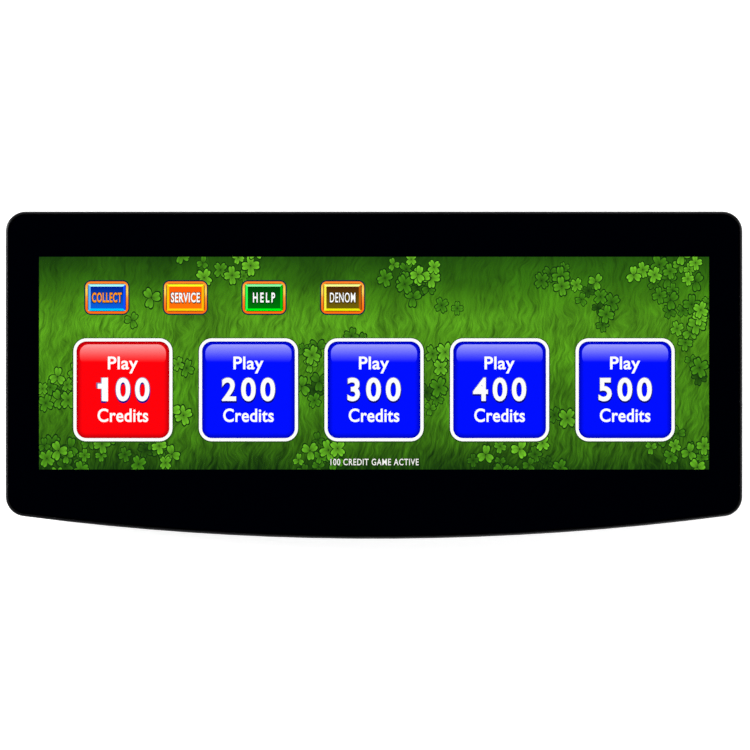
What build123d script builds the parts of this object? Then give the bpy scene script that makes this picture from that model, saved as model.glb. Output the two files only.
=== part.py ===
"""Touch-screen player deck of a video gaming machine.

The deck is a wide flat module with a bowed front edge. A black-bordered cover glass lies over a
bar-shaped LCD, in a moulded bezel closed by a steel rear cover that holds the boards. It hinges at
the rear on a steel tray, which drops into a cut-out of the machine's console and is screwed down
by its flange. Two quarter-turn latches lock it. They are modelled unlocked, as when it is serviced.

Frame: origin at the middle of the footprint, on the underside of the tray. X runs to the right
along the deck, +Y to the rear hinge and +Z up, out of the glass. Millimetres.
"""

from build123d import *
import os

# ---- Driving dimensions -------------------------------------------------------------------------
panel_width = 378.0
panel_depth = 168.0
front_bow = 12.8
corner_radius = 10.2
deck_top = 50.0

# Visible picture, and the black border behind it
screen_width = 344.0
screen_depth = 109.2
rear_border = 23.2

# Cover glass and what lies under it
glass_thickness = 3.0
glass_chamfer = 0.5
glass_clearance = 0.2
print_thickness = 0.15
gasket_thickness = 0.85
gasket_width = 7.5
gasket_inset = 0.5
sensor_thickness = 0.75
sensor_margin = 4.0
sensor_lcd_gap = 0.2

# Bezel
rim_width = 1.3
rim_round = 1.0
bezel_wall = 2.5
bezel_plate = 3.0
boss_radius = 3.2

# LCD module
lcd_side_border = 5.0
lcd_front_border = 11.0
lcd_clearance = 1.0
lcd_sheet = 0.6
cell_margin = 3.0
cell_thickness = 1.3
film_margin = 2.0
film_thickness = 0.3
film_clearance = 0.2
guide_thickness = 3.0
back_plate_thickness = 1.0
led_count = 32
strap_x = 80.0
strap_sheet = 1.5
strap_width = 15.0

# Rear cover
cover_sheet = 1.2
cover_bottom = 10.0
cover_flange = 28.0
cover_left = -160.0
cover_right = 98.0
cover_front = -44.0
cover_rear = 60.0
cover_corner = 6.0

# Tray
tray_sheet = 1.5
tray_top = 20.0
tray_half_width = 166.0
tray_front = -60.0
tray_rear = 66.0
tray_corner = 8.0
flange_inset = 0.8
seal_gap = 2.0
seal_width = 5.5
seal_rear_end = 68.0
bumper_radius = 4.5
deck_clearance = 0.3
mount_spacing_x = 354.0
mount_spacing_y = 120.0
mount_hole_radius = 2.75

# Hinges
hinge_x = 125.0
hinge_pin_radius = 1.6
hinge_knuckle_radius = 3.1
hinge_wall_clearance = 0.7
hinge_above_tray = 17.5
hinge_width = 20.0
hinge_arm = 2.5
hinge_foot = 2.0
hinge_side_gap = 0.4
running_clearance = 0.05
knuckle_relief = 0.39
leaf_ear = 3.0
leaf_plate = 2.0
leaf_half_length = 24.0
slot_clearance = 2.0

# Quarter-turn latches
latch_x = 90.0
latch_z = 8.0
latch_shaft_radius = 3.0
latch_bush_radius = 5.0
latch_flange_radius = 6.2
latch_knob_radius = 6.5
latch_knob_length = 8.2
cam_inset = 6.5
cam_thickness = 2.0
cam_reach = 13.0
cam_width = 7.0
keeper_sheet = 1.2
keeper_width = 14.0
keeper_offset = 7.0
keeper_gap = 0.4

# Boards and their fixings
board_thickness = 1.6
standoff_height = 3.0
standoff_radius = 2.6
screw_radius = 1.45
screw_hole_radius = 1.5
head_radius = 2.8
head_height = 1.8

# Service keys on the underside
key_count = 5
key_pitch = 14.0
key_radius = 3.0
key_hole_clearance = 0.35
key_flange_radius = 4.2
key_flange = 1.0
key_stand_out = 1.4
key_travel = 1.0
switch_height = 3.5
plunger_height = 0.6

# ---- Levels and lines worked out from them ------------------------------------------------------
rear_edge = panel_depth / 2
front_edge = -panel_depth / 2
screen_y = rear_edge - rear_border - screen_depth / 2

glass_bottom = deck_top - glass_thickness
print_bottom = glass_bottom - print_thickness
ledge_top = print_bottom - gasket_thickness
plate_bottom = ledge_top - bezel_plate
skirt_bottom = tray_top + seal_gap

lcd_width = screen_width + 2 * lcd_side_border
lcd_depth = screen_depth + lcd_side_border + lcd_front_border
lcd_y = screen_y + (lcd_side_border - lcd_front_border) / 2
lcd_rear = lcd_y + lcd_depth / 2
lcd_front = lcd_y - lcd_depth / 2
lcd_top = print_bottom - sensor_thickness - sensor_lcd_gap
cell_bottom = lcd_top - lcd_sheet - cell_thickness
guide_top = cell_bottom - film_thickness
guide_bottom = guide_top - guide_thickness
mould_bottom = guide_bottom - film_thickness
lcd_bottom = mould_bottom - back_plate_thickness
guide_front = screen_y - screen_depth / 2 - film_margin

opening_width = lcd_width + 2 * lcd_clearance
opening_depth = lcd_depth + 2 * lcd_clearance

hinge_z = tray_top + hinge_above_tray
hinge_y = rear_edge - bezel_wall - hinge_wall_clearance - hinge_knuckle_radius
slot_width = hinge_width + 2 * slot_clearance
leaf_rear = rear_edge - bezel_wall - 0.3
leaf_front = lcd_rear + lcd_clearance + 1.2

cover_inside = cover_bottom + cover_sheet
board_z = cover_inside + standoff_height
board_top = board_z + board_thickness

cover_center_x = (cover_left + cover_right) / 2
cover_center_y = (cover_front + cover_rear) / 2
cover_length = cover_right - cover_left
cover_depth = cover_rear - cover_front
tray_center_y = (tray_front + tray_rear) / 2
tray_depth = tray_rear - tray_front

side_boss_x = (opening_width / 2 + panel_width / 2 - bezel_wall) / 2
rear_boss_y = (lcd_rear + lcd_clearance + rear_edge - bezel_wall) / 2
front_boss_y = (lcd_front + front_edge) / 2 + 1.0
cover_bosses = (
    [(x, rear_boss_y) for x in (-170.0, -40.0, 40.0, 170.0)]
    + [(x, front_boss_y) for x in (-40.0, 40.0)]
    + [(side * 172.0, lcd_front - 5.5) for side in (-1, 1)]
    + [(side * side_boss_x, 0.0) for side in (-1, 1)]
)
strap_bosses = [
    (side * strap_x, y) for side in (-1, 1) for y in (front_boss_y, rear_boss_y)
]

keys_x = -102.0
keys_y = -24.0
key_points = [
    (keys_x + (n - (key_count - 1) / 2) * key_pitch, keys_y) for n in range(key_count)
]
key_top = cover_inside + deck_clearance + key_flange
plunger_bottom = key_top + key_travel + deck_clearance
key_board_z = plunger_bottom + plunger_height + switch_height

front_wall = tray_front + tray_sheet
cam_rear = tray_front + cam_inset + cam_thickness
keeper_lip = latch_z - cam_width / 2 - keeper_gap - keeper_sheet

sides = {"left": -1, "right": 1}

leaf_y = (leaf_front + leaf_rear) / 2
leaf_screw_points = {
    name: [(s * hinge_x + d * (leaf_half_length - 5.0), leaf_y) for d in (-1, 1)]
    for name, s in sides.items()
}
foot_rear = hinge_y + hinge_arm / 2
foot_depth = foot_rear - tray_rear - 0.5
foot_middle = foot_rear - foot_depth / 2
foot_screw_points = {
    name: [(s * hinge_x + d * 6.0, foot_middle - 2.0) for d in (-1, 1)]
    for name, s in sides.items()
}
keeper_screw_points = [
    (s * (latch_x - keeper_offset - keeper_width / 2), z) for s in sides.values() for z in (15.0, 22.0)
]
bumper_x = 130.0
bumper_y = tray_front - 6.5
notch_depth = 20.0
tail_x = -110.0
tail_width = 18.0


def panel_outline(inset=0.0):
    """The deck's outline: straight rear and sides, bowed front and round corners, inset mm inside it."""
    half = panel_width / 2
    with BuildSketch() as outline:
        with BuildLine():
            Polyline(
                (-half, front_edge + front_bow),
                (-half, rear_edge),
                (half, rear_edge),
                (half, front_edge + front_bow),
            )
            ThreePointArc(
                (half, front_edge + front_bow),
                (0, front_edge),
                (-half, front_edge + front_bow),
            )
        make_face()
        fillet(outline.vertices(), corner_radius)
        if inset:
            offset(amount=-inset)
    return outline.sketch


def front_plane(y):
    """The upright plane at y that looks to the front: its own x is X and its own y is Z."""
    return Plane.XZ.offset(-y)


def save(part, name):
    """Labels a finished sub-part and writes its STEP file."""
    part.label = name
    export_step(part, f"parts/{name}.step")


os.makedirs("parts", exist_ok=True)

# ==== Cover glass and touch sensor ===============================================================

with BuildPart() as cover_glass:
    with BuildSketch(Plane.XY.offset(glass_bottom)):
        add(panel_outline(rim_width + glass_clearance))
    extrude(amount=glass_thickness)
    chamfer(cover_glass.faces().sort_by(Axis.Z)[-1].edges(), glass_chamfer)
save(cover_glass.part, "cover_glass")

# Black ink on the underside of the glass, with the clear window in it
with BuildPart() as border_print:
    with BuildSketch(Plane.XY.offset(print_bottom)):
        add(panel_outline(rim_width + glass_clearance + 0.1))
        with Locations((0, screen_y)):
            Rectangle(screen_width, screen_depth, mode=Mode.SUBTRACT)
    extrude(amount=print_thickness)
save(border_print.part, "border_print")

# Foam tape that holds the glass down on the bezel's ledge
with BuildPart() as glass_gasket:
    with BuildSketch(Plane.XY.offset(ledge_top)):
        add(panel_outline(rim_width + glass_clearance + gasket_inset))
        add(
            panel_outline(rim_width + glass_clearance + gasket_inset + gasket_width),
            mode=Mode.SUBTRACT,
        )
    extrude(amount=gasket_thickness)
save(glass_gasket.part, "glass_gasket")

with BuildPart() as touch_sensor:
    with BuildSketch(Plane.XY.offset(print_bottom - sensor_thickness)):
        with Locations((0, screen_y)):
            RectangleRounded(
                screen_width + 2 * sensor_margin, screen_depth + 2 * sensor_margin, 2.0
            )
    extrude(amount=sensor_thickness)
save(touch_sensor.part, "touch_sensor")

# ==== Bezel ======================================================================================

with BuildPart() as bezel_frame:
    with BuildSketch(Plane.XY.offset(skirt_bottom)):
        add(panel_outline())
    extrude(amount=deck_top - skirt_bottom)
    fillet(bezel_frame.faces().sort_by(Axis.Z)[-1].edges(), rim_round)
    # recess that takes the glass
    with BuildSketch(Plane.XY.offset(ledge_top)):
        add(panel_outline(rim_width))
    extrude(amount=deck_top - ledge_top, mode=Mode.SUBTRACT)
    # hollow underneath, inside the skirt
    with BuildSketch(Plane.XY.offset(skirt_bottom)):
        add(panel_outline(bezel_wall))
    extrude(amount=plate_bottom - skirt_bottom, mode=Mode.SUBTRACT)
    # opening that takes the LCD
    with BuildSketch(Plane.XY.offset(plate_bottom)):
        with Locations((0, lcd_y)):
            Rectangle(opening_width, opening_depth)
    extrude(amount=bezel_plate, mode=Mode.SUBTRACT)
    # bosses for the rear cover, and shorter ones for the LCD supports
    with BuildSketch(Plane.XY.offset(cover_flange + cover_sheet)):
        with Locations(*cover_bosses):
            Circle(boss_radius)
    extrude(amount=plate_bottom - cover_flange - cover_sheet)
    with BuildSketch(Plane.XY.offset(lcd_bottom)):
        with Locations(*strap_bosses):
            Circle(boss_radius)
    extrude(amount=plate_bottom - lcd_bottom)
    with BuildSketch(Plane.XY.offset(cover_flange)):
        with Locations(*cover_bosses, *strap_bosses):
            Circle(screw_hole_radius)
    extrude(amount=plate_bottom - cover_flange, mode=Mode.SUBTRACT)
    # open slots that the tray's hinge brackets swing through
    with BuildSketch(Plane.XY.offset(skirt_bottom)):
        with Locations(*[(s * hinge_x, rear_edge) for s in sides.values()]):
            Rectangle(slot_width, 2 * bezel_wall + 1.0)
    extrude(amount=hinge_z + 1.0 - skirt_bottom, mode=Mode.SUBTRACT)
    # screw holes for the hinge leaves
    with BuildSketch(Plane.XY.offset(plate_bottom)):
        with Locations(*leaf_screw_points["left"], *leaf_screw_points["right"]):
            Circle(screw_hole_radius)
    extrude(amount=bezel_plate - 0.5, mode=Mode.SUBTRACT)
save(bezel_frame.part, "bezel_frame")

# ==== Screws =====================================================================================


def pan_head_screws(points, face_z, direction, length):
    """Cross-head screws with the heads on the face at face_z and the shanks running in direction."""
    with BuildPart() as screws:
        with BuildSketch(Plane.XY.offset(face_z)):
            with Locations(*points):
                Circle(head_radius)
        extrude(amount=-direction * head_height)
        by_height = screws.faces().sort_by(Axis.Z, reverse=direction < 0)
        fillet([e for f in by_height[: len(points)] for e in f.edges()], 0.8)
        with BuildSketch(Plane.XY.offset(face_z - direction * head_height)):
            with Locations(*points):
                Rectangle(2.8, 0.7)
                Rectangle(0.7, 2.8)
        extrude(amount=direction * 1.0, mode=Mode.SUBTRACT)
        with BuildSketch(Plane.XY.offset(face_z)):
            with Locations(*points):
                Circle(screw_radius)
        extrude(amount=direction * length)
    return screws.part


# ==== LCD module =================================================================================

with BuildPart() as lcd_front_frame:
    with BuildSketch(Plane.XY.offset(lcd_bottom)):
        with Locations((0, lcd_y)):
            Rectangle(lcd_width, lcd_depth)
    extrude(amount=lcd_top - lcd_bottom)
    with BuildSketch(Plane.XY.offset(lcd_bottom)):
        with Locations((0, lcd_y)):
            Rectangle(lcd_width - 2 * lcd_sheet, lcd_depth - 2 * lcd_sheet)
    extrude(amount=lcd_top - lcd_bottom - lcd_sheet, mode=Mode.SUBTRACT)
    with BuildSketch(Plane.XY.offset(lcd_bottom)):
        with Locations((0, screen_y)):
            Rectangle(screen_width + film_margin, screen_depth + film_margin)
    extrude(amount=lcd_top - lcd_bottom, mode=Mode.SUBTRACT)
save(lcd_front_frame.part, "lcd_front_frame")

# The flat layers: how far each reaches beyond the picture, its underside and its thickness
layers = {
    "lcd_cell": (cell_margin, cell_bottom, cell_thickness),
    "diffuser_film": (film_margin, guide_top, film_thickness),
    "light_guide": (film_margin, guide_bottom, guide_thickness),
    "reflector_sheet": (film_margin, mould_bottom, film_thickness),
}
for name, (margin, bottom, thickness) in layers.items():
    with BuildPart() as layer:
        with BuildSketch(Plane.XY.offset(bottom)):
            with Locations((0, screen_y)):
                Rectangle(screen_width + 2 * margin, screen_depth + 2 * margin)
        extrude(amount=thickness)
    save(layer.part, name)

# Light strip along the front edge of the light guide
led_depth = 1.4
led_board_depth = 1.0
with BuildPart() as led_strip:
    with BuildSketch(Plane.XY.offset(mould_bottom)):
        with Locations((0, guide_front - led_depth - led_board_depth / 2)):
            Rectangle(screen_width, led_board_depth)
    extrude(amount=cell_bottom - mould_bottom - film_thickness)
    with BuildSketch(Plane.XY.offset(guide_bottom + film_thickness)):
        with Locations((0, guide_front - led_depth / 2)):
            with GridLocations(screen_width / led_count, 1.0, led_count, 1):
                Rectangle(5.6, led_depth)
    extrude(amount=guide_thickness - 2 * film_thickness)
save(led_strip.part, "led_strip")

# Moulded frame that keeps the layers square inside the steel frame
pocket = film_margin + film_clearance
strip_room = led_depth + led_board_depth + film_clearance
with BuildPart() as lcd_mould_frame:
    with BuildSketch(Plane.XY.offset(mould_bottom)):
        with Locations((0, lcd_y)):
            Rectangle(lcd_width - 2 * lcd_sheet, lcd_depth - 2 * lcd_sheet)
        with Locations((0, screen_y - strip_room / 2)):
            Rectangle(
                screen_width + 2 * pocket,
                screen_depth + 2 * pocket + strip_room,
                mode=Mode.SUBTRACT,
            )
    extrude(amount=cell_bottom - mould_bottom)
save(lcd_mould_frame.part, "lcd_mould_frame")

with BuildPart() as lcd_back_plate:
    with BuildSketch(Plane.XY.offset(lcd_bottom)):
        with Locations((0, lcd_y)):
            Rectangle(lcd_width - 2 * lcd_sheet, lcd_depth - 2 * lcd_sheet)
    extrude(amount=back_plate_thickness)
save(lcd_back_plate.part, "lcd_back_plate")

# Two steel straps carry the LCD. Each is screwed to a boss in front of it and one behind it.
for name, side in sides.items():
    with BuildPart() as strap:
        with BuildSketch(Plane.XY.offset(lcd_bottom - strap_sheet)):
            with Locations((side * strap_x, (front_boss_y + rear_boss_y) / 2)):
                RectangleRounded(strap_width, rear_boss_y - front_boss_y + 10.0, 3.0)
            with Locations((side * strap_x, front_boss_y), (side * strap_x, rear_boss_y)):
                Circle(screw_hole_radius, mode=Mode.SUBTRACT)
        extrude(amount=strap_sheet)
    save(strap.part, f"lcd_strap_{name}")
save(pan_head_screws(strap_bosses, lcd_bottom - strap_sheet, 1, 4.5), "lcd_strap_screws")


def blocks(level, direction, boxes, drums=()):
    """Components on a board's face: boxes (x, y, width, depth, height), drums (x, y, radius, height)."""
    with BuildPart() as parts:
        for x, y, width, depth, height in boxes:
            with BuildSketch(Plane.XY.offset(level)):
                with Locations((x, y)):
                    Rectangle(width, depth)
            extrude(amount=direction * height)
        for x, y, radius, height in drums:
            with BuildSketch(Plane.XY.offset(level)):
                with Locations((x, y)):
                    Circle(radius)
            extrude(amount=direction * height)
    return parts.part


# Timing board under the front of the LCD
tcon_width = 130.0
tcon_depth = 24.0
tcon_y = lcd_front + tcon_depth / 2 + 1.5
tcon_top = lcd_bottom
tcon_bottom = tcon_top - 1.2
with BuildPart() as tcon_board:
    with BuildSketch(Plane.XY.offset(tcon_bottom)):
        with Locations((0, tcon_y)):
            RectangleRounded(tcon_width, tcon_depth - 1.0, 1.0)
    extrude(amount=tcon_top - tcon_bottom)
save(tcon_board.part, "tcon_board")

ribbon_width = 20.0
ribbon_lead = 7.0
ribbon_tuck = 4.4
plug_height = 2.0
plug_depth = 5.6
tcon_plug_rear = tcon_y + 10.5
ribbon_drop = tcon_plug_rear + ribbon_lead
tcon_parts_list = [
    (0.0, tcon_plug_rear - plug_depth / 2, ribbon_width + 2.0, plug_depth, plug_height),
    (-38.0, tcon_y + 2.0, 12.0, 12.0, 1.4),
    (-22.0, tcon_y - 3.0, 8.0, 8.0, 1.2),
    (38.0, tcon_y, 10.0, 10.0, 1.4),
    (52.0, tcon_y + 3.0, 6.0, 6.0, 1.8),
]
save(blocks(tcon_bottom, -1, tcon_parts_list), "tcon_parts")

# ==== Rear cover =================================================================================

# Sockets in the wall of the cable bay: y of the middle, width and height
socket_sizes = {
    "power_socket": (28.0, 14.0, 10.6),
    "video_socket": (2.0, 18.4, 8.0),
    "usb_socket": (-22.0, 12.2, 10.6),
}
socket_clearance = 0.3
vent_x = 12.0
vent_columns = 17
vent_pitch = 6.0
vent_slot = (22.0, 2.4)
vent_rows = [-8.0, 24.0]
with BuildPart() as rear_cover:
    with BuildSketch(Plane.XY.offset(cover_flange)):
        add(panel_outline(bezel_wall + 0.4))
    extrude(amount=cover_sheet)
    with BuildSketch(Plane.XY.offset(cover_bottom)):
        with Locations((cover_center_x, cover_center_y)):
            RectangleRounded(cover_length, cover_depth, cover_corner)
    extrude(amount=cover_flange - cover_bottom)
    # hollow of the pan
    with BuildSketch(Plane.XY.offset(cover_inside)):
        with Locations((cover_center_x, cover_center_y)):
            RectangleRounded(
                cover_length - 2 * cover_sheet,
                cover_depth - 2 * cover_sheet,
                cover_corner - cover_sheet,
            )
    extrude(amount=cover_flange - cover_bottom, mode=Mode.SUBTRACT)
    # screw holes in the flange, and notches that clear the tray's hinge brackets
    with BuildSketch(Plane.XY.offset(cover_flange)):
        with Locations(*cover_bosses):
            Circle(screw_hole_radius)
        with Locations(*[(s * hinge_x, rear_edge) for s in sides.values()]):
            Rectangle(slot_width, 2 * notch_depth)
    extrude(amount=cover_sheet, mode=Mode.SUBTRACT)
    # key holes and vent slots in the bottom
    with BuildSketch(Plane.XY.offset(cover_bottom)):
        with Locations(*key_points):
            Circle(key_radius + key_hole_clearance)
        for y in vent_rows:
            with Locations((vent_x, y)):
                with GridLocations(vent_pitch, 1.0, vent_columns, 1):
                    SlotOverall(*vent_slot, rotation=90)
    extrude(amount=cover_sheet, mode=Mode.SUBTRACT)
    # openings for the sockets
    for y, width, height in socket_sizes.values():
        with BuildSketch(Plane.YZ.offset(cover_right - cover_sheet - 1.0)):
            with Locations((y, board_top + height / 2)):
                Rectangle(width + 2 * socket_clearance, height + 2 * socket_clearance)
        extrude(amount=cover_sheet + 2.0, mode=Mode.SUBTRACT)
    # screw holes for the latch keepers
    with BuildSketch(front_plane(cover_front - 1.0)):
        with Locations(*keeper_screw_points):
            Circle(screw_hole_radius)
    extrude(amount=-(cover_sheet + 2.0), mode=Mode.SUBTRACT)
save(rear_cover.part, "rear_cover")
save(pan_head_screws(cover_bosses, cover_flange, 1, 9.0), "rear_cover_screws")

# ==== Boards =====================================================================================

# Boards on the floor of the pan: centre and size
boards = {
    "main_board": ((22.0, 6.0), (146.0, 84.0)),
    "touch_board": ((-110.0, 28.0), (60.0, 36.0)),
    "backlight_board": ((-105.0, -4.0), (66.0, 20.0)),
}
hole_inset = 4.0


def board_holes(center, size):
    """The four fixing points of a board."""
    return [
        (center[0] + i * (size[0] / 2 - hole_inset), center[1] + j * (size[1] / 2 - hole_inset))
        for i in (-1, 1)
        for j in (-1, 1)
    ]


low_points = [point for spec in boards.values() for point in board_holes(*spec)]
key_board_size = (84.0, 12.0)
key_board_points = [
    (keys_x + i * (key_board_size[0] / 2 - hole_inset), keys_y) for i in (-1, 1)
]


def board(center, size, bottom, holes):
    """A bare board with its corners rounded and its fixing holes drilled."""
    with BuildPart() as blank:
        with BuildSketch(Plane.XY.offset(bottom)):
            with Locations(center):
                RectangleRounded(*size, 1.5)
            with Locations(*holes):
                Circle(screw_hole_radius, mode=Mode.SUBTRACT)
        extrude(amount=board_thickness)
    return blank.part


for name, (center, size) in boards.items():
    save(board(center, size, board_z, board_holes(center, size)), name)
save(board((keys_x, keys_y), key_board_size, key_board_z, key_board_points), "key_board")

with BuildPart() as board_standoffs:
    for points, top in ((low_points, board_z), (key_board_points, key_board_z)):
        with BuildSketch(Plane.XY.offset(cover_inside)):
            with Locations(*points):
                RegularPolygon(standoff_radius, 6)
                Circle(screw_hole_radius, mode=Mode.SUBTRACT)
        extrude(amount=top - cover_inside)
save(board_standoffs.part, "board_standoffs")
board_screws = pan_head_screws(low_points, board_top, -1, 4.0) + pan_head_screws(
    key_board_points, key_board_z + board_thickness, -1, 4.0
)
save(board_screws, "board_screws")

# Main board: sockets, a processor under a finned heat sink, memory, coils, plugs and capacitors
chip_height = 1.6
sink_size = 32.0
fin_count = 9
display_plug_front = ribbon_drop + ribbon_tuck
sink_center = (14.0, max(8.0, display_plug_front + plug_depth + 1.0 + sink_size / 2))
main_boxes = [
    (sink_center[0], sink_center[1], 22.0, 22.0, chip_height),
    (0.0, display_plug_front + plug_depth / 2, ribbon_width + 2.0, plug_depth, plug_height + 1.0),
    (-16.0, 22.0, 9.0, 12.0, 1.1),
    (-16.0, 4.0, 9.0, 12.0, 1.1),
    (52.0, 30.0, 10.0, 10.0, 5.0),
    (52.0, 15.0, 10.0, 10.0, 5.0),
    (-44.0, 20.0, 5.0, 16.0, 6.0),
    (-44.0, -8.0, 5.0, 12.0, 6.0),
    (-30.0, 42.0, 16.0, 5.0, 6.0),
    (38.0, -22.0, 8.0, 6.0, 1.2),
    (62.0, -12.0, 7.0, 7.0, 1.2),
    (66.0, 2.0, 9.0, 9.0, 1.2),
    (-28.0, -22.0, 8.0, 5.0, 1.2),
    (26.0, 38.0, 5.0, 3.0, 1.0),
]
main_drums = [(66.0, 40.0, 4.0, 9.0), (76.0, 41.0, 4.0, 9.0), (40.0, 40.0, 3.2, 7.0)]
save(blocks(board_top, 1, main_boxes, main_drums), "main_board_parts")

sink_base = board_top + chip_height
with BuildPart() as heat_sink:
    with BuildSketch(Plane.XY.offset(sink_base)):
        with Locations(sink_center):
            Rectangle(sink_size, sink_size)
    extrude(amount=2.0)
    with BuildSketch(Plane.XY.offset(sink_base + 2.0)):
        with Locations(sink_center):
            with GridLocations(sink_size / fin_count, 1.0, fin_count, 1):
                Rectangle(1.2, sink_size)
    extrude(amount=8.0)
save(heat_sink.part, "heat_sink")

# Touch controller and backlight driver. The first plug overhangs its board's edge for the tail.
touch_rear = boards["touch_board"][0][1] + boards["touch_board"][1][1] / 2
touch_boxes = [
    (tail_x + tail_width / 2, touch_rear - 1.5, tail_width + 2.0, 5.0, plug_height),
    (-120.0, 24.0, 12.0, 12.0, 1.2),
    (-99.0, 20.0, 8.0, 6.0, 1.2),
    (-84.5, 26.0, 5.0, 14.0, 5.0),
]
backlight_boxes = [
    (-116.0, -4.0, 11.0, 11.0, 6.0),
    (-102.0, -2.0, 7.0, 7.0, 1.2),
    (-127.0, -4.0, 5.0, 9.0, 5.0),
    (-84.0, -4.0, 5.0, 9.0, 5.0),
]
backlight_drums = [(-93.0, -4.0, 3.5, 8.0)]
save(blocks(board_top, 1, touch_boxes + backlight_boxes, backlight_drums), "side_board_parts")

# Sockets on the main board's right edge, flush with the outside of the cover. The mouth of each
# is cut into its right face, and a tongue or a pair of blades stands in it.
socket_depth = 16.0
mouth_depth = 11.0
mouth_wall = 1.2
blade_pitch = 4.2
blade_width = 1.0
blade_height = 4.0
for name, (y, width, height) in socket_sizes.items():
    middle = (y, board_top + height / 2)
    with BuildPart() as socket:
        with BuildSketch(Plane.YZ.offset(cover_right)):
            with Locations(middle):
                Rectangle(width, height)
        extrude(amount=-socket_depth)
        with BuildSketch(Plane.YZ.offset(cover_right)):
            with Locations(middle):
                Rectangle(width - 2 * mouth_wall, height - 2 * mouth_wall)
                if name == "power_socket":
                    with GridLocations(blade_pitch, 1.0, 2, 1):
                        Rectangle(blade_width, blade_height, mode=Mode.SUBTRACT)
                else:
                    tongue = (width * 0.55, height * 0.28)
                    Rectangle(*tongue, mode=Mode.SUBTRACT)
        extrude(amount=-mouth_depth, mode=Mode.SUBTRACT)
    save(socket.part, name)

# Ribbon cable from the timing board down to the main board
ribbon_sheet = 0.3
ribbon_top = tcon_bottom - plug_height / 2
ribbon_bottom = board_top + plug_height / 2 + 0.5
with BuildPart() as display_ribbon:
    with BuildSketch(Plane.YZ.offset(-ribbon_width / 2)):
        with BuildLine():
            FilletPolyline(
                (tcon_plug_rear, ribbon_top),
                (ribbon_drop, ribbon_top),
                (ribbon_drop, ribbon_bottom),
                (display_plug_front, ribbon_bottom),
                radius=1.5,
            )
        trace(line_width=ribbon_sheet)
    extrude(amount=ribbon_width)
save(display_ribbon.part, "display_ribbon")

# Printed flex tail, from the sensor's rear edge round the LCD to the touch controller
tail_sheet = 0.2
tail_top = print_bottom - sensor_thickness / 2
tail_drop = lcd_rear + lcd_clearance / 2
tail_level = lcd_bottom - 3.5
tail_end = touch_rear + 1.0
with BuildPart() as touch_tail:
    with BuildSketch(Plane.YZ.offset(tail_x)):
        with BuildLine():
            FilletPolyline(
                (screen_y + screen_depth / 2 + sensor_margin, tail_top),
                (tail_drop, tail_top),
                (tail_drop, tail_level),
                (tail_end + 4.0, tail_level),
                (tail_end + 4.0, board_top + plug_height / 2),
                (tail_end, board_top + plug_height / 2),
                radius=0.4,
            )
        trace(line_width=tail_sheet)
    extrude(amount=tail_width)
save(touch_tail.part, "touch_tail")

# ==== Service keys ===============================================================================

# Push switches hang under the key board. Each key floats between its switch and its hole.
with BuildPart() as key_switches:
    with BuildSketch(Plane.XY.offset(key_board_z)):
        with Locations(*key_points):
            Rectangle(6.0, 6.0)
    extrude(amount=-switch_height)
    with BuildSketch(Plane.XY.offset(key_board_z - switch_height)):
        with Locations(*key_points):
            Circle(1.6)
    extrude(amount=-plunger_height)
save(key_switches.part, "key_switches")

for n, point in enumerate(key_points):
    with BuildPart() as key:
        with BuildSketch(Plane.XY.offset(cover_bottom - key_stand_out)):
            with Locations(point):
                Circle(key_radius)
        extrude(amount=key_top - cover_bottom + key_stand_out)
        fillet(key.faces().sort_by(Axis.Z)[0].edges(), 0.6)
        with BuildSketch(Plane.XY.offset(key_top)):
            with Locations(point):
                Circle(key_flange_radius)
        extrude(amount=-key_flange)
    save(key.part, f"service_key_{n + 1}")

# ==== Hinges =====================================================================================

ear_offset = hinge_width / 2 + hinge_side_gap
for name, side in sides.items():
    x = side * hinge_x
    # leaf screwed under the bezel, with an ear on each side of the knuckle
    with BuildPart() as leaf:
        with BuildSketch(Plane.XY.offset(plate_bottom)):
            with Locations((x, leaf_y)):
                Rectangle(2 * leaf_half_length, leaf_rear - leaf_front)
            with Locations(*leaf_screw_points[name]):
                Circle(screw_hole_radius, mode=Mode.SUBTRACT)
        extrude(amount=-leaf_plate)
        for start in (x - ear_offset - leaf_ear, x + ear_offset):
            with BuildSketch(Plane.YZ.offset(start)):
                with Locations((hinge_y, hinge_z)):
                    Circle(hinge_knuckle_radius)
                with Locations((hinge_y, (hinge_z + plate_bottom - leaf_plate) / 2)):
                    Rectangle(2 * hinge_knuckle_radius, plate_bottom - leaf_plate - hinge_z)
                with Locations((hinge_y, hinge_z)):
                    Circle(hinge_pin_radius, mode=Mode.SUBTRACT)
            extrude(amount=leaf_ear)
        # groove that a knuckle too large for the gap under the plate turns in
        with BuildSketch(Plane.YZ.offset(x - ear_offset)):
            with Locations((hinge_y, hinge_z)):
                Circle(hinge_knuckle_radius + knuckle_relief)
        extrude(amount=2 * ear_offset, mode=Mode.SUBTRACT)
    save(leaf.part, f"hinge_leaf_{name}")

    # bracket on the tray's flange: foot, upright arm and knuckle
    with BuildPart() as bracket:
        with BuildSketch(Plane.YZ.offset(x - hinge_width / 2)):
            with Locations((foot_middle, tray_top + hinge_foot / 2)):
                Rectangle(foot_depth, hinge_foot)
            with Locations((hinge_y, (tray_top + hinge_z) / 2)):
                Rectangle(hinge_arm, hinge_z - tray_top)
            with Locations((hinge_y, hinge_z)):
                Circle(hinge_knuckle_radius)
                Circle(hinge_pin_radius + running_clearance, mode=Mode.SUBTRACT)
        extrude(amount=hinge_width)
        with BuildSketch(Plane.XY.offset(tray_top)):
            with Locations(*foot_screw_points[name]):
                Circle(screw_hole_radius)
        extrude(amount=hinge_foot, mode=Mode.SUBTRACT)
    save(bracket.part, f"hinge_bracket_{name}")

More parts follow.
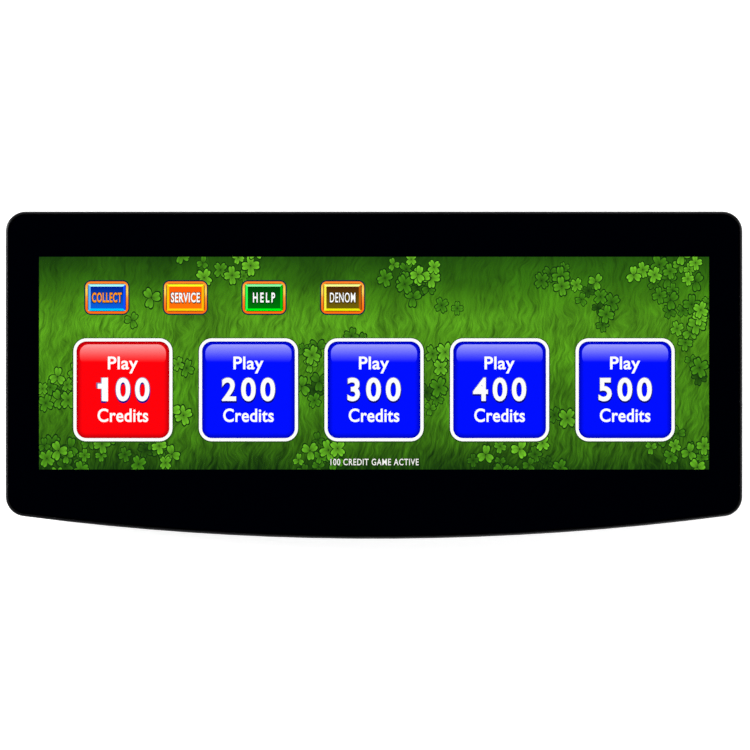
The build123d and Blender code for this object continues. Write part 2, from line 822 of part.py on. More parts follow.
# Pins riveted through the ears; the knuckles turn on them
with BuildPart() as hinge_pins:
    for side in sides.values():
        for end in (-1, 1):
            with BuildSketch(Plane.YZ.offset(side * hinge_x)):
                with Locations((hinge_y, hinge_z)):
                    Circle(hinge_pin_radius)
            extrude(amount=end * (ear_offset + leaf_ear))
            with BuildSketch(Plane.YZ.offset(side * hinge_x + end * (ear_offset + leaf_ear))):
                with Locations((hinge_y, hinge_z)):
                    Circle(hinge_pin_radius + 0.8)
            extrude(amount=end * 1.0)
save(hinge_pins.part, "hinge_pins")

save(
    pan_head_screws(
        leaf_screw_points["left"] + leaf_screw_points["right"],
        plate_bottom - leaf_plate,
        1,
        4.0,
    ),
    "hinge_leaf_screws",
)
save(
    pan_head_screws(
        foot_screw_points["left"] + foot_screw_points["right"],
        tray_top + hinge_foot,
        -1,
        hinge_foot + tray_sheet,
    ),
    "hinge_bracket_screws",
)

# ==== Latches ====================================================================================

bush_front = tray_front - 1.5
knob_rear = bush_front - deck_clearance
knob_front = knob_rear - latch_knob_length
cam_front = cam_rear - cam_thickness
nut_depth = 2.5
for name, side in sides.items():
    center = (side * latch_x, latch_z)
    # bushing clamped in the tray's front wall by its flange and its nut
    with BuildPart() as bushing:
        with BuildSketch(front_plane(front_wall + nut_depth)):
            with Locations(center):
                Circle(latch_bush_radius)
        extrude(amount=front_wall + nut_depth - bush_front)
        with BuildSketch(front_plane(tray_front)):
            with Locations(center):
                Circle(latch_flange_radius)
        extrude(amount=tray_front - bush_front)
        with BuildSketch(front_plane(front_wall + nut_depth)):
            with Locations(center):
                RegularPolygon(latch_flange_radius + 0.3, 6)
        extrude(amount=nut_depth)
        with BuildSketch(front_plane(front_wall + nut_depth)):
            with Locations(center):
                Circle(latch_shaft_radius + running_clearance)
        extrude(amount=front_wall + nut_depth - bush_front, mode=Mode.SUBTRACT)
    save(bushing.part, f"latch_bushing_{name}")

    # fluted knob with its shaft, headed over behind the cam
    with BuildPart() as knob:
        with BuildSketch(front_plane(knob_rear)):
            with Locations(center):
                Circle(latch_knob_radius)
                with PolarLocations(latch_knob_radius + 0.6, 8):
                    Circle(1.4, mode=Mode.SUBTRACT)
        extrude(amount=latch_knob_length)
        chamfer(knob.faces().sort_by(Axis.Y)[0].edges(), 0.6)
        with BuildSketch(front_plane(knob_front)):
            with Locations(center):
                Rectangle(1.4, 8.0)
        extrude(amount=-2.0, mode=Mode.SUBTRACT)
        with BuildSketch(front_plane(cam_rear)):
            with Locations(center):
                Circle(latch_shaft_radius)
        extrude(amount=cam_rear - knob_rear)
        with BuildSketch(front_plane(cam_rear)):
            with Locations(center):
                Circle(latch_shaft_radius + 0.8)
        extrude(amount=-0.8)
    save(knob.part, f"latch_knob_{name}")

    # cam, upright when unlocked
    with BuildPart() as cam:
        with BuildSketch(front_plane(cam_rear)):
            with Locations(center):
                Circle(cam_width / 2 + 1.2)
            with Locations((center[0], latch_z + cam_reach / 2)):
                Rectangle(cam_width, cam_reach)
            with Locations(center):
                Circle(latch_shaft_radius, mode=Mode.SUBTRACT)
        extrude(amount=cam_thickness)
        tips = cam.edges().filter_by(Axis.Y).group_by(Axis.Z)[-1]
        fillet(tips, 1.5)
    save(cam.part, f"latch_cam_{name}")

    # keeper on the rear cover: an upright strip with the lip that the cam turns over
    keeper_center = side * (latch_x - keeper_offset - keeper_width / 2)
    keeper_top = cover_flange - 2.0
    lip_front = cam_front - 1.0
    with BuildPart() as keeper:
        with BuildSketch(Plane.YZ.offset(keeper_center - keeper_width / 2)):
            with Locations((cover_front - keeper_sheet / 2, (keeper_lip + keeper_top) / 2)):
                Rectangle(keeper_sheet, keeper_top - keeper_lip)
            with Locations(((lip_front + cover_front) / 2, keeper_lip + keeper_sheet / 2)):
                Rectangle(cover_front - lip_front, keeper_sheet)
        extrude(amount=keeper_width)
        with BuildSketch(front_plane(cover_front)):
            with Locations(*keeper_screw_points):
                Circle(screw_hole_radius)
        extrude(amount=keeper_sheet, mode=Mode.SUBTRACT)
    save(keeper.part, f"latch_keeper_{name}")

with BuildPart() as keeper_screws:
    with BuildSketch(front_plane(cover_front - keeper_sheet)):
        with Locations(*keeper_screw_points):
            Circle(head_radius)
    extrude(amount=head_height)
    fillet(
        [e for f in keeper_screws.faces().sort_by(Axis.Y)[:4] for e in f.edges()], 0.8
    )
    with BuildSketch(front_plane(cover_front - keeper_sheet - head_height)):
        with Locations(*keeper_screw_points):
            Rectangle(2.8, 0.7)
            Rectangle(0.7, 2.8)
    extrude(amount=-1.0, mode=Mode.SUBTRACT)
    with BuildSketch(front_plane(cover_front - keeper_sheet)):
        with Locations(*keeper_screw_points):
            Circle(screw_radius)
    extrude(amount=-(keeper_sheet + cover_sheet + 1.0))
save(keeper_screws.part, "keeper_screws")

# ==== Mounting tray ==============================================================================

exit_center = (133.0, 3.0)
exit_size = (46.0, 60.0)
exit_corner = 6.0
floor_vents = (-60.0, 3.0)
with BuildPart() as tray_pan:
    with BuildSketch():
        with Locations((0, tray_center_y)):
            RectangleRounded(2 * tray_half_width, tray_depth, tray_corner)
    extrude(amount=tray_top)
    with BuildSketch(Plane.XY.offset(tray_top)):
        add(panel_outline(flange_inset))
    extrude(amount=-tray_sheet)
    with BuildSketch(Plane.XY.offset(tray_sheet)):
        with Locations((0, tray_center_y)):
            RectangleRounded(
                2 * (tray_half_width - tray_sheet),
                tray_depth - 2 * tray_sheet,
                tray_corner - tray_sheet,
            )
    extrude(amount=tray_top - tray_sheet, mode=Mode.SUBTRACT)
    # cable exit and vent slots in the floor
    with BuildSketch():
        with Locations(exit_center):
            RectangleRounded(*exit_size, exit_corner)
        with Locations(floor_vents):
            with GridLocations(8.0, 44.0, 17, 2):
                SlotOverall(32.0, 3.2, rotation=90)
    extrude(amount=tray_sheet, mode=Mode.SUBTRACT)
    # holes in the flange: four to the console, two for each hinge bracket
    with BuildSketch(Plane.XY.offset(tray_top)):
        with GridLocations(mount_spacing_x, mount_spacing_y, 2, 2):
            Circle(mount_hole_radius)
        with Locations(*foot_screw_points["left"], *foot_screw_points["right"]):
            Circle(screw_hole_radius)
    extrude(amount=-tray_sheet, mode=Mode.SUBTRACT)
    # latch holes in the front wall
    with BuildSketch(front_plane(tray_front)):
        with Locations(*[(s * latch_x, latch_z) for s in sides.values()]):
            Circle(latch_bush_radius)
    extrude(amount=-tray_sheet, mode=Mode.SUBTRACT)
save(tray_pan.part, "tray_pan")

# Moulded trim that lines the cable exit
trim_wall = 1.4
with BuildPart() as exit_trim:
    with BuildSketch():
        with Locations(exit_center):
            RectangleRounded(*exit_size, exit_corner)
    extrude(amount=tray_sheet)
    with BuildSketch(Plane.XY.offset(tray_sheet)):
        with Locations(exit_center):
            RectangleRounded(exit_size[0] + 5.0, exit_size[1] + 5.0, exit_corner + 2.5)
    extrude(amount=1.5)
    with BuildSketch():
        with Locations(exit_center):
            RectangleRounded(
                exit_size[0] - 2 * trim_wall,
                exit_size[1] - 2 * trim_wall,
                exit_corner - trim_wall,
            )
    extrude(amount=tray_sheet + 1.5, mode=Mode.SUBTRACT)
save(exit_trim.part, "exit_trim")

# Foam seal on the flange, below the bezel's skirt at the front and the sides
with BuildPart() as edge_seal:
    with BuildSketch(Plane.XY.offset(tray_top)):
        add(panel_outline(flange_inset))
        add(panel_outline(flange_inset + seal_width), mode=Mode.SUBTRACT)
        with Locations((0, seal_rear_end)):
            Rectangle(panel_width, 100.0, align=(Align.CENTER, Align.MIN), mode=Mode.SUBTRACT)
    extrude(amount=seal_gap - deck_clearance)
save(edge_seal.part, "edge_seal")

# Rubber feet on the flange, just under the rear cover, that take the player's pushes
with BuildPart() as rest_bumpers:
    with BuildSketch(Plane.XY.offset(tray_top)):
        with Locations(*[(s * bumper_x, bumper_y) for s in sides.values()]):
            Circle(bumper_radius)
    extrude(amount=cover_flange - deck_clearance - tray_top, taper=5)
save(rest_bumpers.part, "rest_bumpers")
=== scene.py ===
"""Finishes and screen picture of a touch-screen player deck.

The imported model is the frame: its parts keep their shape and place, and get their materials here.
The picture on the LCD is built as thin lit layers between the LCD and the touch sensor.
"""

import math
import random

import bpy
from bpy.props import FloatProperty, FloatVectorProperty, PointerProperty
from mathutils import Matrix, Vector


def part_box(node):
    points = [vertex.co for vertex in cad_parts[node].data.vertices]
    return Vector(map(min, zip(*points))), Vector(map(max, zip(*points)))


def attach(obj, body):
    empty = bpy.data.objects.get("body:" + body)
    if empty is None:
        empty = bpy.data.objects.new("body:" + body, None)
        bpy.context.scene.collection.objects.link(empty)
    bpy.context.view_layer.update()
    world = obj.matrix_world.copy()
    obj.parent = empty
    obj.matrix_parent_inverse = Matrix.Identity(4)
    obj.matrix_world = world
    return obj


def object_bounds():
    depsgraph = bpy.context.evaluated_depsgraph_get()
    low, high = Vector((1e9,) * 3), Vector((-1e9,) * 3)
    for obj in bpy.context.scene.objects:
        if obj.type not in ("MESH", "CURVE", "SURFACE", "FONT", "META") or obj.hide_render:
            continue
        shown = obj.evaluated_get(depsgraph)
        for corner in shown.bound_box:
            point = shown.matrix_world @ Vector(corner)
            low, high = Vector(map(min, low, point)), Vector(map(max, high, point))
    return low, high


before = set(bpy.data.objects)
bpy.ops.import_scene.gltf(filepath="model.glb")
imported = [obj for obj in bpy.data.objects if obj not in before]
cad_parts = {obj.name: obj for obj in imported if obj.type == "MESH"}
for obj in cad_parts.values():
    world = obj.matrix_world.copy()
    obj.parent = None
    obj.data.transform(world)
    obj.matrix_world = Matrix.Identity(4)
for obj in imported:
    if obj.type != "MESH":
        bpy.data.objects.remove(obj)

bl_info = {
    "name": "Player deck finishes",
    "version": (1, 0, 0),
    "blender": (4, 5, 0),
    "location": "3D View > Sidebar > Player deck",
    "description": "Builds the screen picture and the finishes of a player deck",
    "category": "Object",
}

MM = 0.001
cad_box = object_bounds()
CELL_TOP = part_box("lcd_cell")[1][2]


def linear(code):
    """Linear RGBA of an sRGB hex colour."""
    values = [int(code[i:i + 2], 16) / 255 for i in (1, 3, 5)]
    return tuple(v / 12.92 if v <= 0.04045 else ((v + 0.055) / 1.055) ** 2.4 for v in values) + (1.0,)


def length(name, description, millimetres):
    """A size that a user can change, given in millimetres and kept in metres."""
    return FloatProperty(name=name, description=description, default=millimetres * MM,
                         unit="LENGTH", precision=5)


def colour(name, description, code):
    """A colour that a user can change, given as sRGB hex."""
    return FloatVectorProperty(name=name, description=description, default=linear(code), size=4,
                               subtype="COLOR", min=0.0, max=1.0)


class DeckPictureSizes(bpy.types.PropertyGroup):
    """Sizes of what the screen shows."""

    picture_y: length("Picture middle", "Middle of the picture, front to rear", 6.2)
    picture_width: length("Picture width", "Width of the lit picture", 345.0)
    picture_height: length("Picture height", "Height of the lit picture", 110.8)
    key_width: length("Key width", "Width of a play key with its white frame", 50.9)
    key_height: length("Key height", "Height of a play key with its white frame", 52.9)
    key_radius: length("Key radius", "Outer corner radius of a play key", 6.7)
    key_frame: length("Key frame", "Width of the white frame", 1.6)
    key_pitch: length("Key pitch", "Distance between play keys", 64.5)
    key_y: length("Key row", "Middle of the row of play keys", -7.5)
    menu_width: length("Menu key width", "Width of a menu key", 23.3)
    menu_height: length("Menu key height", "Height of a menu key", 17.9)
    menu_radius: length("Menu key radius", "Outer corner radius of a menu key", 3.5)
    menu_pitch: length("Menu key pitch", "Distance between menu keys", 40.37)
    menu_x: length("First menu key", "Middle of the first menu key", -137.25)
    menu_y: length("Menu key row", "Middle of the row of menu keys", 39.9)
    status_y: length("Status line", "Middle of the status line", -44.6)
    layer_step: length("Layer step", "Height between the picture's layers", 0.03)


class DeckPictureColours(bpy.types.PropertyGroup):
    """Colours of what the screen shows."""

    key_white: colour("Key frame", "White frame and lettering", "#FFFFFF")
    key_red: colour("First key", "Face of the first play key", "#FF0202")
    key_red_edge: colour("First key edge", "Shaded edge of the first play key", "#A40000")
    key_blue: colour("Other keys", "Face of the other play keys", "#020EFF")
    key_blue_edge: colour("Other keys edge", "Shaded edge of the other play keys", "#0004A2")
    key_shadow: colour("Key shadow", "Shade round a play key", "#244A10")
    figure_shade: colour("Figure shade", "Shade under the large figures", "#0A0A80")
    menu_outline: colour("Menu outline", "Thin outline of a menu key", "#0B2740")
    menu_rim: colour("Menu rim", "Rim of a menu key at its top and bottom", "#FF7008")
    menu_rim_light: colour("Menu rim light", "Lightest part of a menu key's rim", "#FFE060")
    clover_light: colour("Light clover", "Nearest clovers", "#72C428")
    clover_middle: colour("Middle clover", "Clovers further down", "#499014")
    clover_dark: colour("Dark clover", "Deepest clovers", "#2B5A0B")
    clover_line: colour("Clover outline", "Dark line round each leaf", "#163607")


class DeckFinishColours(bpy.types.PropertyGroup):
    """Colours of the housing's materials."""

    bezel: colour("Bezel", "Moulded bezel", "#0A0A0C")
    border: colour("Border", "Ink behind the cover glass", "#000318")
    tray: colour("Tray", "Powder coat of the tray", "#1B1C1F")
    zinc: colour("Zinc", "Galvanised sheet", "#9BA1A6")
    board: colour("Board", "Solder mask of the boards", "#0E5B34")
    floor: colour("Floor", "Studio floor", "#F4F4F2")


def sizes():
    """The picture's sizes, in metres."""
    return bpy.context.scene.deck_sizes


def shades():
    """The picture's colours."""
    return bpy.context.scene.deck_colours


def finishes():
    """The housing's colours."""
    return bpy.context.scene.deck_finishes


# ---- Nodes --------------------------------------------------------------------------------------


def add_node(tree, kind, settings=None, **inputs):
    """Adds a node, sets its settings, and sets or links each input named in inputs."""
    node = tree.nodes.new(kind)
    for name, value in (settings or {}).items():
        setattr(node, name, value)
    for name, value in inputs.items():
        socket = node.inputs[int(name[1:])] if name[0] == "_" else node.inputs[name.replace("_", " ")]
        if isinstance(value, bpy.types.NodeSocket):
            tree.links.new(value, socket)
        else:
            socket.default_value = value
    return node


def new_material(name):
    """An empty node material and its tree."""
    material = bpy.data.materials.new(name)
    material.use_nodes = True
    material.node_tree.nodes.clear()
    return material, material.node_tree


def set_ramp(node, stops):
    """Gives a colour ramp its stops, each (position, colour)."""
    ramp = node.color_ramp
    while len(ramp.elements) > 1:
        ramp.elements.remove(ramp.elements[-1])
    ramp.elements[0].position, ramp.elements[0].color = stops[0]
    for position, value in stops[1:]:
        ramp.elements.new(position).color = value
    return node


def grey(value):
    """A neutral colour, linear."""
    return (value, value, value, 1.0)


def scaled(value, factor):
    """A colour made lighter or darker."""
    return tuple(min(1.0, v * factor) for v in value[:3]) + (1.0,)


def surface(name, base, roughness, metallic=0.0, grain=0.5, depth=0.1, vary=0.12, rough_vary=0.06,
            stretch=(1, 1, 1), **shader_inputs):
    """A solid finish with a fine grain: grain is its size and depth its height, both in millimetres.

    vary is how far the colour drifts over tens of millimetres, and rough_vary the roughness.
    """
    material, tree = new_material(name)
    place = add_node(tree, "ShaderNodeTexCoord").outputs["Object"]
    drawn = add_node(tree, "ShaderNodeMapping", Vector=place, Scale=stretch).outputs["Vector"]
    fine = add_node(tree, "ShaderNodeTexNoise", Vector=drawn, Scale=1.0 / (grain * MM), Detail=3.0)
    broad = add_node(tree, "ShaderNodeTexNoise", Vector=drawn, Scale=42.0, Detail=4.0, Roughness=0.6)
    tone = set_ramp(
        add_node(tree, "ShaderNodeValToRGB", Fac=broad.outputs["Fac"]),
        [(0.3, scaled(base, 1.0 - vary)), (0.7, scaled(base, 1.0 + vary))],
    )
    rough = add_node(tree, "ShaderNodeMapRange", Value=fine.outputs["Fac"], From_Min=0.3, From_Max=0.7,
                     To_Min=roughness - rough_vary, To_Max=roughness + rough_vary)
    bump = add_node(tree, "ShaderNodeBump", Strength=0.35, Distance=depth * MM,
                    Height=fine.outputs["Fac"])
    shader = add_node(tree, "ShaderNodeBsdfPrincipled", Base_Color=tone.outputs["Color"],
                      Roughness=rough.outputs["Result"], Metallic=metallic,
                      Normal=bump.outputs["Normal"], **shader_inputs)
    add_node(tree, "ShaderNodeOutputMaterial", Surface=shader.outputs["BSDF"])
    return material


def dress(material, *nodes):
    """Gives CAD parts their finish."""
    for node in nodes:
        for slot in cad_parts[node].material_slots:
            slot.material = material


# ---- Modelling ----------------------------------------------------------------------------------


def clear_selection():
    """Leaves edit mode and deselects everything, so that an operator acts on the new piece alone."""
    if bpy.context.object and bpy.context.object.mode != "OBJECT":
        bpy.ops.object.mode_set(mode="OBJECT")
    bpy.ops.object.select_all(action="DESELECT")


def select(*objects):
    """Selects these pieces and nothing else, the first one active."""
    clear_selection()
    for obj in objects:
        obj.select_set(True)
    bpy.context.view_layer.objects.active = objects[0]


def plate(name, x, y, z, width, height, radius, segments=8):
    """A flat face with round corners, looking up."""
    clear_selection()
    bpy.ops.mesh.primitive_plane_add(size=1.0, location=(x, y, z))
    obj = bpy.context.object
    obj.name = name
    obj.scale = (width, height, 1.0)
    bpy.ops.object.transform_apply(location=True, rotation=True, scale=True)
    if radius:
        bpy.ops.object.mode_set(mode="EDIT")
        bpy.ops.mesh.select_all(action="SELECT")
        bpy.ops.mesh.bevel(offset=radius, segments=segments, affect="VERTICES")
        bpy.ops.object.mode_set(mode="OBJECT")
    return obj


def cut_rows(obj, rows):
    """Cuts a flat face across at each y in rows."""
    select(obj)
    bpy.ops.object.mode_set(mode="EDIT")
    for y in rows:
        bpy.ops.mesh.select_all(action="SELECT")
        bpy.ops.mesh.bisect(plane_co=(0, y, 0), plane_no=(0, 1, 0))
    bpy.ops.object.mode_set(mode="OBJECT")


def inset_rings(obj, step, count):
    """Insets a flat face count times, so that its edge can be shaded in rings."""
    select(obj)
    bpy.ops.object.mode_set(mode="EDIT")
    bpy.ops.mesh.select_all(action="SELECT")
    for _ in range(count):
        bpy.ops.mesh.inset(thickness=step, depth=0.0)
    bpy.ops.object.mode_set(mode="OBJECT")


def paint(obj, shade):
    """Stores shade(x, y, z) of every corner in the piece's own tint attribute."""
    mesh = obj.data
    tint = mesh.color_attributes.new("tint", "FLOAT_COLOR", "CORNER")
    for polygon in mesh.polygons:
        for i in polygon.loop_indices:
            tint.data[i].color = shade(*mesh.vertices[mesh.loops[i].vertex_index].co)


def fill(obj, value):
    """Paints a piece in one colour."""
    paint(obj, lambda *place: tuple(value))


def mix(a, b, t):
    """Colour at t on the way from a to b."""
    t = max(0.0, min(1.0, t))
    return tuple(p + (q - p) * t for p, q in zip(a[:3], b[:3])) + (1.0,)


def blend_stops(stops, t):
    """Colour at t along stops, each (position, colour)."""
    for (t0, a), (t1, b) in zip(stops, stops[1:]):
        if t <= t1:
            return mix(a, b, (t - t0) / (t1 - t0))
    return tuple(stops[-1][1])


def edge_distance(x, y, width, height, radius):
    """How far a point of a round-cornered plate lies inside its edge."""
    dx = max(abs(x) - (width / 2 - radius), 0.0)
    dy = max(abs(y) - (height / 2 - radius), 0.0)
    if dx and dy:
        return radius - math.hypot(dx, dy)
    return min(width / 2 - abs(x), height / 2 - abs(y))


def lettering(name, text, x, y, z, width, height, weight, spacing=1.0):
    """Flat lettering whose box has its middle at x, y and the given width and height."""
    clear_selection()
    bpy.ops.object.text_add(location=(0, 0, 0))
    obj = bpy.context.object
    obj.name = name
    obj.data.body = text
    obj.data.offset = weight
    obj.data.space_character = spacing
    obj.data.resolution_u = 6
    obj.data.fill_mode = "FRONT"
    bpy.ops.object.convert(target="MESH")
    corners = [Vector(c) for c in obj.bound_box]
    low = Vector([min(c[i] for c in corners) for i in range(3)])
    high = Vector([max(c[i] for c in corners) for i in range(3)])
    scale = (width / (high.x - low.x), height / (high.y - low.y))
    obj.scale = (scale[0], scale[1], 1.0)
    middle = (low + high) / 2
    obj.location = (x - middle.x * scale[0], y - middle.y * scale[1], z)
    bpy.ops.object.transform_apply(location=True, rotation=True, scale=True)
    return obj


def join(name, objects):
    """Joins pieces into one."""
    select(*objects)
    if len(objects) > 1:
        bpy.ops.object.join()
    obj = bpy.context.object
    obj.name = name
    return obj


def lit_piece(obj, material):
    """Ends a piece of the picture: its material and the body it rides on."""
    obj.data.materials.clear()
    obj.data.materials.append(material)
    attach(obj, "deck")
    return obj


# ---- Screen picture -----------------------------------------------------------------------------

# The picture's light passes the sensor and the cover glass, which take about a seventh of it
PICTURE_LIGHT = 1.17


def end_lit(tree, light):
    """Ends a lit material: light through the LCD's cell, without gloss, as the glass has that."""
    shader = add_node(tree, "ShaderNodeBsdfPrincipled", Base_Color=grey(0.0), Roughness=1.0,
                      Specular_IOR_Level=0.0, Emission_Color=light,
                      Emission_Strength=PICTURE_LIGHT)
    add_node(tree, "ShaderNodeOutputMaterial", Surface=shader.outputs["BSDF"])


def backlit_cell():
    """The one material of all tinted picture layers: backlit LCD, coloured by the piece's tint."""
    material = bpy.data.materials.get("backlit_cell")
    if material is None:
        material, tree = new_material("backlit_cell")
        tint = add_node(tree, "ShaderNodeAttribute", {"attribute_name": "tint"})
        end_lit(tree, tint.outputs["Color"])
    return material


# Layers of grass blades: how far they turn, how many go into a metre across and along, where the
# layer's noise starts, and the layer's share
GRASS_BLADES = [(0.30, (640, 98, 1), 0.0, 1.0), (-0.18, (1300, 175, 1), 3.0, 0.45),
                (0.08, (300, 50, 1), 7.0, 0.8)]
# The layers are noises of mean 0.5, so that they add up to about this, give or take
GRASS_MEAN, GRASS_SPREAD = 1.12, 0.4
# How far the light of the blades, and of the clumps they grow in, goes from its mean
BLADE_CONTRAST, CLUMP_CONTRAST = 0.52, 0.28
# How far the edges of the grass's bands wander, in millimetres
GRASS_RAGGED = 10.0
# Colours of the grass, from the front edge to the rear one
GRASS_BANDS = [(0.0, "#1C4005"), (0.15, "#37690C"), (0.33, "#427C10"), (0.50, "#4A8812"),
               (0.60, "#4E8C14"), (0.70, "#508F16"), (0.78, "#468310"), (0.88, "#33690A"),
               (1.0, "#1F4805")]


def grass_material():
    """Backlit grass: blades 1.5 mm wide and 10 mm long that lean and wave, brightest in a band."""
    s = sizes()
    material, tree = new_material("backlit_grass")
    place = add_node(tree, "ShaderNodeTexCoord").outputs["Object"]
    # blades lean to one side and the other over some 20 mm
    sway = add_node(tree, "ShaderNodeTexNoise", Vector=place, Scale=58.0, Detail=2.0)
    lean = add_node(tree, "ShaderNodeVectorMath", {"operation": "MULTIPLY_ADD"},
                    _0=sway.outputs["Color"], _1=(0.014, 0.004, 0.0), _2=place).outputs["Vector"]
    strands = 0.0
    for turn, stretch, start, share in GRASS_BLADES:
        turned = add_node(tree, "ShaderNodeMapping", Vector=lean, Rotation=(0, 0, turn))
        drawn = add_node(tree, "ShaderNodeMapping", Vector=turned.outputs["Vector"], Scale=stretch,
                         Location=(start, 0, 0))
        blades = add_node(tree, "ShaderNodeTexNoise", {"noise_dimensions": "2D"},
                          Vector=drawn.outputs["Vector"], Scale=1.0, Detail=2.0, Roughness=0.6,
                          Distortion=0.4).outputs["Fac"]
        strands = add_node(tree, "ShaderNodeMath", {"operation": "MULTIPLY_ADD"}, _0=blades,
                           _1=share, _2=strands).outputs["Value"]
    light = add_node(tree, "ShaderNodeMapRange", Value=strands,
                     From_Min=GRASS_MEAN - GRASS_SPREAD, From_Max=GRASS_MEAN + GRASS_SPREAD,
                     To_Min=1.0 - BLADE_CONTRAST, To_Max=1.0 + BLADE_CONTRAST)
    # clumps of grass some 40 mm across
    clumps = add_node(tree, "ShaderNodeTexNoise", {"noise_dimensions": "2D"}, Vector=place,
                      Scale=26.0, Detail=3.0, Roughness=0.55)
    clump_light = add_node(tree, "ShaderNodeMapRange", Value=clumps.outputs["Fac"], From_Min=0.3,
                           From_Max=0.7, To_Min=1.0 - CLUMP_CONTRAST, To_Max=1.0 + CLUMP_CONTRAST)
    both = add_node(tree, "ShaderNodeMath", {"operation": "MULTIPLY"}, _0=light.outputs["Result"],
                    _1=clump_light.outputs["Result"])
    # colour by place, from the front edge to the rear one, in bands with ragged edges
    apart = add_node(tree, "ShaderNodeSeparateXYZ", Vector=place)
    ragged = add_node(tree, "ShaderNodeMath", {"operation": "MULTIPLY_ADD"}, _0=strands,
                      _1=GRASS_RAGGED * MM, _2=apart.outputs["Y"])
    middle, half = s.picture_y + GRASS_MEAN * GRASS_RAGGED * MM, s.picture_height / 2
    height = add_node(tree, "ShaderNodeMapRange", Value=ragged.outputs["Value"],
                      From_Min=middle - half, From_Max=middle + half)
    ramp = set_ramp(add_node(tree, "ShaderNodeValToRGB", Fac=height.outputs["Result"]),
                    [(position, linear(code)) for position, code in GRASS_BANDS])
    lit = add_node(tree, "ShaderNodeVectorMath", {"operation": "SCALE"}, _0=ramp.outputs["Color"],
                   Scale=both.outputs["Value"])
    end_lit(tree, lit.outputs["Vector"])
    return material


class DECK_OT_grass(bpy.types.Operator):
    """Build the grass field that fills the picture"""

    bl_idname = "deck.grass"
    bl_label = "Grass field"

    def execute(self, context):
        s = sizes()
        obj = plate("screen_grass", 0, s.picture_y, CELL_TOP, s.picture_width, s.picture_height, 0)
        select(obj)
        bpy.ops.object.mode_set(mode="EDIT")
        bpy.ops.mesh.select_all(action="SELECT")
        bpy.ops.mesh.extrude_region_move(TRANSFORM_OT_translate={"value": (0, 0, s.layer_step)})
        bpy.ops.mesh.select_all(action="SELECT")
        bpy.ops.mesh.normals_make_consistent(inside=False)
        bpy.ops.object.mode_set(mode="OBJECT")
        lit_piece(obj, grass_material())
        return {"FINISHED"}


# Where clovers grow: middle x and y in mm, spread in mm, how many, and how light they are, 0 to 1
CLOVER_PATCHES = [
    (-163, -8, 7, 8, 0.5), (-150, 0, 5, 3, 0.7), (-160, -42, 9, 11, 0.5), (-142, -36, 6, 4, 0.35),
    (-124, -45, 8, 4, 0.25), (-106, -40, 5, 3, 0.5), (-112, -36, 3, 2, 0.8), (-98, 4, 3, 2, 0.6),
    (-34, 10, 6, 5, 0.55), (-33, -8, 6, 4, 0.3), (-30, -42, 9, 9, 0.55), (-100, -20, 4, 2, 0.6),
    (32, 8, 5, 4, 0.6), (30, -12, 6, 4, 0.3), (62, -44, 9, 6, 0.45), (80, -40, 7, 4, 0.7),
    (93, -48, 6, 3, 0.3), (97, -22, 4, 2, 0.5), (152, -36, 8, 6, 0.45), (166, -42, 6, 4, 0.6),
    (-92, 58, 10, 4, 0.55), (-66, 57, 7, 4, 0.7), (-75, 52, 4, 2, 0.5), (14, 54, 8, 6, 0.75),
    (27, 50, 6, 4, 0.8), (20, 45, 5, 3, 0.3), (94, 50, 6, 5, 0.5), (108, 44, 6, 4, 0.45),
    (120, 38, 4, 2, 0.8), (117, 31, 5, 3, 0.3), (142, 52, 7, 6, 0.75), (160, 54, 7, 7, 0.7),
    (150, 38, 6, 4, 0.8), (166, 34, 6, 6, 0.7), (160, 22, 6, 4, 0.4), (-126, 28, 2, 1, 0.8),
    (165, 4, 5, 3, 0.35), (-9, 17, 4, 2, 0.2), (-116, 40, 2, 1, 0.8), (40, 34, 5, 2, 0.3),
]
CLOVER_SEED = 41
# Patches spread their clovers this much wider, and this flat
PATCH_REACH, PATCH_FLATNESS = 1.45, 0.8
# Shortest and longest leaf, in millimetres
LEAF_LENGTHS = (3.5, 5.8)
# Lobes of a leaf of unit length: half their width and length, how far their middles lie from the
# leaf's own line and from its stalk end, and how far they lean outwards
LOBE_HALF_WIDTH, LOBE_HALF_LENGTH = 0.245, 0.44
LOBE_ASIDE, LOBE_ALONG, LOBE_LEAN = 0.09, 0.48, 0.27
# The dark outline is a leaf that is longer by this share, and starts this share of it further back
OUTLINE_GROWTH, OUTLINE_BACK = 0.23, 0.35
# The clovers' squeeze from side to side
CLOVER_SQUEEZE = 0.87
# Height from one clover to the next, and of the first above the grass, in millimetres
CLOVER_STEP, CLOVER_START = 0.0026, 0.01


def clover_leaf():
    """One heart-shaped leaf of unit length, its stalk end at the origin: two lobes side by side."""
    lobes = []
    for side in (-1, 1):
        # one lobe lies a little above the other
        clear_selection()
        bpy.ops.mesh.primitive_circle_add(vertices=14, radius=1.0, fill_type="TRIFAN",
                                          location=(side * LOBE_ASIDE, LOBE_ALONG, side * 0.1),
                                          rotation=(0, 0, -side * LOBE_LEAN))
        lobe = bpy.context.object
        lobe.scale = (LOBE_HALF_WIDTH, LOBE_HALF_LENGTH, 1.0)
        bpy.ops.object.transform_apply(location=True, rotation=True, scale=True)
        lobes.append(lobe)
    return join("leaf", lobes)


